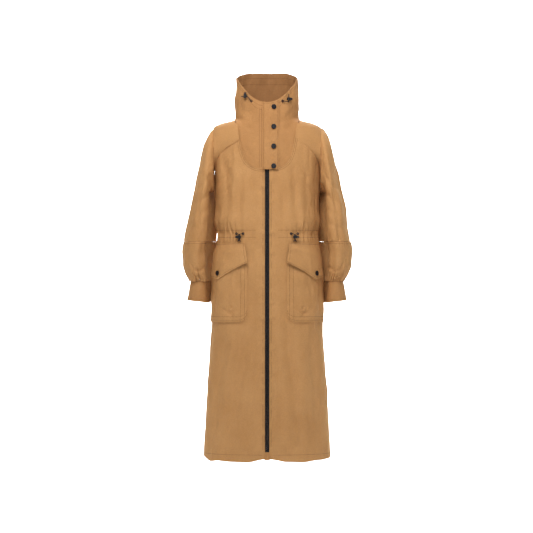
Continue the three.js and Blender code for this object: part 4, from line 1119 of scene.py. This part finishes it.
def cordLine(points, samples=14):
    # centripetal curve through the points
    points = np.asarray(points, float)
    points = np.concatenate([[2 * points[0] - points[1]], points, [2 * points[-1] - points[-2]]])
    line = []
    for a, b, c, d in zip(points, points[1:], points[2:], points[3:]):
        ta = 0.0
        tb = ta + np.linalg.norm(b - a) ** 0.5
        tc = tb + np.linalg.norm(c - b) ** 0.5
        td = tc + np.linalg.norm(d - c) ** 0.5
        for t in np.linspace(tb, tc, samples, endpoint=False):
            ab = a * (tb - t) / (tb - ta) + b * (t - ta) / (tb - ta)
            bc = b * (tc - t) / (tc - tb) + c * (t - tb) / (tc - tb)
            cd = c * (td - t) / (td - tc) + d * (t - tc) / (td - tc)
            abc = ab * (tc - t) / (tc - ta) + bc * (t - ta) / (tc - ta)
            bcd = bc * (td - t) / (td - tb) + cd * (t - tb) / (td - tb)
            line.append(abc * (tc - t) / (tc - tb) + bcd * (t - tb) / (tc - tb))
    line.append(points[-2])
    return np.array(line)


def cordRoute(x, height, lock, aside, tail):
    # out of the eyelet, straight through the lock and on to a free end that turns aside
    middle, normal, barrel, run = lock
    lead = lockRadius + 3.2
    beyond = lead + lockTravel
    through = [middle + run * d + barrel * aside for d in (-lead, -lockRadius, 0, lockRadius)]
    through.append(middle + run * beyond + barrel * aside * tailSpread)
    end = middle + run * (beyond + tail) + barrel * aside * (1 + tailSplay) - normal
    return [frontPoint(x, height, 0.6), frontPoint(x, height, 3.6), *through, end]


def cordPiece(name, route, replaced):
    # a round tube along a smooth route
    line = toRow(cordLine(route))
    curve = bpy.data.curves.new(name, "CURVE")
    curve.dimensions = "3D"
    curve.bevel_depth = cordRadius * mm
    curve.bevel_resolution = 4
    curve.use_fill_caps = True
    spline = curve.splines.new("POLY")
    spline.points.add(len(line) - 1)
    spline.points.foreach_set("co", np.c_[line, np.ones(len(line))].ravel())
    curve.materials.append(cordMaterial)
    piece = bpy.data.objects.new(name, curve)
    bpy.context.scene.collection.objects.link(piece)
    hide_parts(replaced)
    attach(piece, "coat")
    return piece


barrelProfile = roundedProfile(lockRadius, -lockLength / 2, lockLength / 2, 1.4)
barrelGrooves = [(4.7, -4.6), (4.7, -4.2), (5.2, -3.9), (5.2, 3.9), (4.7, 4.2), (4.7, 4.6)]
barrelMouth = [(3.1, 7.0), (3.0, 6.2), (0.02, 6.2)]
barrelProfile = barrelProfile[:6] + barrelGrooves + barrelProfile[6:-1] + barrelMouth
buttonProfile = [(0.02, 3.2), (2.2, 3.2), (2.2, 9.35)] + roundedProfile(4.2, 9.35, 11.75, 0.9)[1:]


def lockPieces(name, lock, cords):
    # a barrel and its button, both turned profiles on the lock's own line
    middle, normal, barrel, run = lock
    origin = middle + barrel * 1.2
    shell, shellFaces = spun(barrelProfile, 36)
    shell = seated(shell, origin, barrel, normal)
    # a collar round each hole the cords run through
    collars = []
    for aside in ([0] if cords == 1 else [-cordSpacing / 2, cordSpacing / 2]):
        for way in (-1, 1):
            ring, ringFaces = spun([(1.5 + 0.5 + 0.5 * math.cos(t), 0.5 * math.sin(t))
                                    for t in np.linspace(0, 2 * np.pi, 11)], 18)
            place = middle + barrel * aside + run * way * (lockRadius - 0.25)
            collars.append((seated(ring, place, run, normal), ringFaces[:-2]))
    hardPiece(name + "Lock", [(shell, shellFaces), *collars], blackPlastic, nodeOf(name) + "_lock",
              "black_plastic", nodeOf(name) + "_lock")
    head, headFaces = spun(buttonProfile, 32)
    hardPiece(name + "LockButton", [(seated(head, origin, barrel, normal), headFaces)], blackPlastic,
              nodeOf(name) + "_lock_button", "black_plastic", nodeOf(name) + "_lock_button")


def nodeOf(name):
    # name of the part's own node for a piece
    return name.replace("Waist", "_waist").replace("Collar", "_collar")


for sideName, side in (("right", -1), ("left", 1)):
    lock = lockFrame(side * 91, waistHeight - 11, False, (0, 0, -1))
    lockPieces(f"{sideName}Waist", lock, 2)
    for label, x, turn in (("inner", 80, -1), ("outer", 102, 1)):
        route = cordRoute(side * x, waistHeight, lock, turn * cordSpacing / 2, 2)
        cordPiece(f"{sideName}WaistCord.{label}", route, f"{sideName}_waist_cord_{label}")
for sideName, x, height, barrelUp, towards in (("right", -70, frontRimHeight + 19, True, (-1, 0, 0)),
                                               ("left", 69, frontRimHeight + 10, False, (0, 0, 1))):
    lock = lockFrame(x, height, barrelUp, towards)
    lockPieces(f"{sideName}Collar", lock, 1)
    side = 1 if x > 0 else -1
    route = cordRoute(side * 52, frontRimHeight + 3, lock, 0, 4)
    cordPiece(f"{sideName}CollarCord", route, f"{sideName}_collar_cord")
print("snaps, eyelets, locks and cords ready")

# the zip: two tapes, a row of moulded teeth on each, and the sliders
zipTop, zipBottom = frontRimHeight - 4, 30.0


def onEdge(x, height, offset):
    # the straight front edge: across, up it and out of it
    out = unit(np.array([0, -1, frontLean]))
    x, height, offset = np.broadcast_arrays(np.asarray(x, float), np.asarray(height, float), offset)
    line = np.stack([x, -frontAt(height), height], -1)
    return line + offset[..., None] * out


zipLook = {"depth": 4.4, "tapeWidth": 13.0, "tapeThickness": 1.0, "pitch": 3.0}
zipDepth = zipLook["depth"]
for sideName, side in (("right", -1), ("left", 1)):
    x = side * np.linspace(0.5, zipLook["tapeWidth"], 12)[None]
    height = np.linspace(zipBottom, zipTop, 240)[:, None]
    ripple = 0.25 * softNoise(height / 9, np.abs(x) * 0 + side) * ease((np.abs(x) - 3) / 6)
    tapePoints = onEdge(x, height, -zipDepth + ripple)
    tape = clothSheet(f"{sideName}ZipTape", tapePoints, zipLook["tapeThickness"], [tapeMaterial, tapeMaterial])
    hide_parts(f"{sideName}_zip_tape")
    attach(tape, "coat")
    # each tooth is a small block that crosses the middle between two of the other side
    toothHeights = np.arange(zipBottom + 2 + (1.5 if side > 0 else 0), zipTop - 2, zipLook["pitch"])
    low = np.array([-0.9 * side, 0.0, -0.62])
    high = np.array([3.1 * side, 1.9, 0.62])
    corners = np.array([(x, o, z) for x in (0, 1) for o in (0, 1) for z in (0, 1)], float)
    block = low + corners * (high - low)
    block[corners[:, 1] > 0.5, 2] *= 0.7
    toothHeight = toothHeights[:, None] + block[None, :, 2]
    place = onEdge(block[None, :, 0], toothHeight, -zipDepth + block[None, :, 1] * 0.95)
    order = np.array([(0, 1, 3, 2), (4, 6, 7, 5), (0, 4, 5, 1), (2, 3, 7, 6), (0, 2, 6, 4), (1, 5, 7, 3)])
    order = order if side > 0 else order[:, ::-1]
    faces = (np.arange(len(toothHeights))[:, None, None] * 8 + order[None]).reshape(-1, 4)
    teeth = meshFrom(f"{sideName}ZipTeeth", place.reshape(-1, 3), faces.tolist(),
                     [teethMaterial], sharpAngle=30)
    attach(teeth, "coat")

# the sliders keep their modelled bodies, in black metal
for nodeName in ("upper_slider", "lower_slider"):
    body = bpy.data.objects[nodeName]
    body.data.materials.clear()
    body.data.materials.append(blackMetal)

tabLook = {"thickness": 1.9, "length": 27, "standOff": 3.6}
# the lower slider's cloth tab: folded tape, wider at its foot, sewn across
pullTop = 40 - 5 / math.hypot(1, frontLean)
tabAcross = np.linspace(-1, 1, 30)[None]
tabDown = np.linspace(0, 1, 30)[:, None]
tabHalf = 9.0 - 1.6 * ease(1 - tabDown / 0.2)
tabHeight = pullTop - 3.2 - tabLook["length"] * tabDown
tabRelief = 0.5 * softNoise(tabAcross * 2 + 9, tabDown * 4) - 0.5 * np.exp(-((tabDown - 0.16) / 0.04) ** 2)
tabPoints = onEdge(tabAcross * tabHalf, tabHeight, tabLook["standOff"] + tabRelief)
tab = clothSheet("lowerPullTab", tabPoints, tabLook["thickness"], [camelTrim, camelTrim])
pin, pinFaces = spun(roundedProfile(0.9, -2.6, 2.6, 0.3), 16)
pinPart = (seated(pin, onEdge(0.0, pullTop, 1.55), (1, 0, 0)), pinFaces)
neckPoints, neckFaces = tubeAlong(onEdge(0.0, np.linspace(pullTop, pullTop - 5, 6), 1.55), 1.1, 10)
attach(tab, "lower_pull")
hardPiece("lowerPullPin", [pinPart, (neckPoints, neckFaces)], blackMetal,
          "lower_pull", "black_metal", "lower_pull")

# the hanging loop: a folded tape that stands inside the back of the neck
loopLow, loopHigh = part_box("hang_loop")
loopHalf, loopTop, loopFoot = 29.5, 1.9, -19.0
corner = [(-loopHalf, loopFoot), (-loopHalf, -9), (-26.5, -1.5), (-18, loopTop), (18, loopTop), (26.5, -1.5),
          (loopHalf, -9), (loopHalf, loopFoot)]
loopLine = cordLine([(x, 0, z) for x, z in corner], 10)
loopBack = np.array([0.0, -sideLineY, -hemZ])
middleY = (loopLow[1] + loopHigh[1]) / 2 / mm
lean = (loopHigh[1] - loopLow[1]) / mm - 1.8
loopNormal = np.array([0.0, 1.0, 0.0])
heading = unit(np.gradient(loopLine, axis=0))
outward = np.cross(heading, loopNormal)
slant = (loopLine[:, 2] - (loopTop + loopFoot) / 2) / (loopTop - loopFoot)
loopLine = loopLine + np.stack([0 * slant, middleY - lean * slant, 0 * slant], -1)
bandAcross = np.linspace(-2.4, 2.4, 7)[None, :, None]
bandPoints = loopLine[:, None] + outward[:, None] * bandAcross + loopBack
loopPiece = clothSheet("hangLoop", bandPoints, 1.5, [tapeMaterial, tapeMaterial])
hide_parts("hang_loop")
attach(loopPiece, "coat")
print("zip, sliders and loop ready")


# seams and sewing
def sewn(name, lines, body, blendWith=None):
    # each line is a path with its normals; all their stitches make one mesh
    parts = [stitches(path, normals) for path, normals in lines]
    vertices, faces = joined(parts)
    # the dark thread paints the seams' shade as well as the stitches
    piece = meshFrom(name, vertices, faces, [darkThreadForSeamShade], np.zeros((len(vertices), 2)), sharpAngle=60)
    if blendWith:
        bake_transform(piece)
    else:
        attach(piece, body)
    return piece


def seamLine(grid, row=None, column=None, inset=0.0, closed=False):
    # a row or column of a cloth grid, moved sideways on the cloth by an inset
    normals = gridNormals(grid, closed)
    middle = grid.mean(1, keepdims=True) if closed else np.zeros(3)
    away = grid - middle
    away[..., 2] = 0
    if (normals * away).sum() < 0:
        normals = -normals
    path = grid[row] if row is not None else grid[:, column]
    normal = normals[row] if row is not None else normals[:, column]
    heading = unit(np.gradient(path, axis=0))
    return path + np.cross(normal, heading) * inset, normal


def loopRound(line):
    # a closed line: its first point repeated at its end
    path, normal = line
    return np.concatenate([path, path[:1]]), np.concatenate([normal, normal[:1]])


for sideName, side in (("right", -1), ("left", 1)):
    grid = bodyCloths[sideName][1]
    straight = 236
    edge, edgeNormal = seamLine(grid, column=0)
    lines = []
    # two rows beside the zip, the lower row of the collar seam, and the hem's row
    for inset in (2.0, 7.0):
        path = edge[8:straight] + np.array([side * inset, 0, 0])
        nearest = np.array([frontPoint(side * (zipHalfOpening + inset), z, 0.0) for z in path[:, 2]])
        lines.append((nearest + edgeNormal[8:straight] * 0.1, edgeNormal[8:straight]))
    for below in (3.5, 9.0):
        seamPath = np.array([[x, 0, z] for x, z in collarSeam])
        seamPath = cordLine(seamPath, 12)[:, [0, 2]]
        direction = unit(np.gradient(seamPath, axis=0))
        shifted = seamPath + np.stack([direction[:, 1], -direction[:, 0]], -1) * below
        shifted = shifted[(shifted[:, 0] > 9) & (shifted[:, 1] < 1088)]
        angles = angleAtX(shifted[:, 0], shifted[:, 1]) * side
        lines.append((onBody(angles, shifted[:, 1], 0.15), skinNormal(angles, shifted[:, 1])))
    hemAngles = np.linspace(3, 88, 220) * side
    for level in (22.0,):
        lines.append((onBody(hemAngles, level, 0.15), skinNormal(hemAngles, level + 0 * hemAngles)))
    waistAngles = np.linspace(10, 88, 240) * side
    for level in (-12.0, 12.0):
        z = waistHeight + level + 0 * waistAngles
        lines.append((onBody(waistAngles, z, 0.15), skinNormal(waistAngles, z)))
    sewn(f"{sideName}FrontSewing", lines, "coat")
    bag, flap = pocketGrids[sideName]
    lines = []
    lines += [seamLine(bag, column=3), seamLine(bag, column=8)]
    lines += [seamLine(bag, row=3), seamLine(bag, row=8)]
    sewn(f"{sideName}PocketSewing", lines, "coat")
    lines = [seamLine(flap, column=3), seamLine(flap, row=60)]
    lines += [seamLine(flap, row=3), seamLine(flap, column=80)]
    sewn(f"{sideName}FlapSewing", lines, f"{sideName}_pocket_flap")
    upper, lower, cuffPoints = sleeveGrids[sideName]
    lines = [loopRound(seamLine(lower, row=2, closed=True))]
    lines += [loopRound(seamLine(cuffPoints, row=row, closed=True)) for row in (2, 19)]
    sewn(f"{sideName}SleeveSewing", lines, f"{sideName}_sleeve")
backLines = []
for level in (22.0, waistHeight - 12, waistHeight + 12):
    backAngles = np.linspace(92, 268, 420)
    z = level + 0 * backAngles
    backLines.append((onBody(backAngles, z, 0.15), skinNormal(backAngles, z)))
sewn("backSewing", backLines, "coat")
collarLines = []
for row in (59, 55):
    collarLines.append(seamLine(collarPoints, row=row))
for x in (-26.0, -19.0):
    z = np.linspace(placketBottom + 8, 1190, 160)
    angles = angleAtX(x, z)
    place = bodyPoint(angles, z, collarRelief(angles, z) + 0.15)
    collarLines.append((place, skinNormal(angles, z)))
sewn("collarSewing", collarLines, "coat")
placketLines = [seamLine(placketGrid, column=4), seamLine(placketGrid, column=47),
                seamLine(placketGrid, row=3), seamLine(placketGrid, row=146)]
sewn("placketSewing", placketLines, "placket")
facingLines = [seamLine(facingPoints, row=row) for row in (26, 22)]
sewn("facingSewing", [(p - n * 1.7, -n) for p, n in facingLines], "coat")
print("sewing ready")

# each cloth's flat size, printed with how it is held
for sideName in ("right", "left"):
    panel, grid = bodyCloths[sideName]
    cloth(panel, grid, "hung", collarPiece)
    upper, lower, cuffPoints = sleeveGrids[sideName]
    sleevePieces = [bpy.data.objects[f"{sideName}{part}"] for part in ("UpperSleeve", "LowerSleeve", "Cuff")]
    cloth(sleevePieces[0], upper, "hung", panel, closed=True)
    cloth(sleevePieces[1], lower, "gathered", sleevePieces[0], closed=True)
    cloth(sleevePieces[2], cuffPoints, "folded", sleevePieces[1], closed=True)
    bag, flap = pocketGrids[sideName]
    cloth(bpy.data.objects[f"{sideName}PocketBag"], bag, "laid", panel)
    cloth(bpy.data.objects[f"{sideName}PocketFlap"], flap, "hung", panel)
    tapeEdges = np.array([0.5, zipLook["tapeWidth"]])
    tapeGrid = np.array([onEdge(tapeEdges, z, -zipDepth) for z in np.linspace(zipBottom, zipTop, 60)])
    cloth(bpy.data.objects[f"{sideName}ZipTape"], tapeGrid, "stretched", panel)
cloth(backPiece, backGrid, "hung", collarPiece)
cloth(collarPiece, collarPoints, "folded", backPiece)
cloth(facingPiece, facingPoints, "laid", collarPiece)
cloth(placketPiece, placketGrid, "laid", collarPiece)
cloth(tab, tabPoints, "hung", "lower_pull")
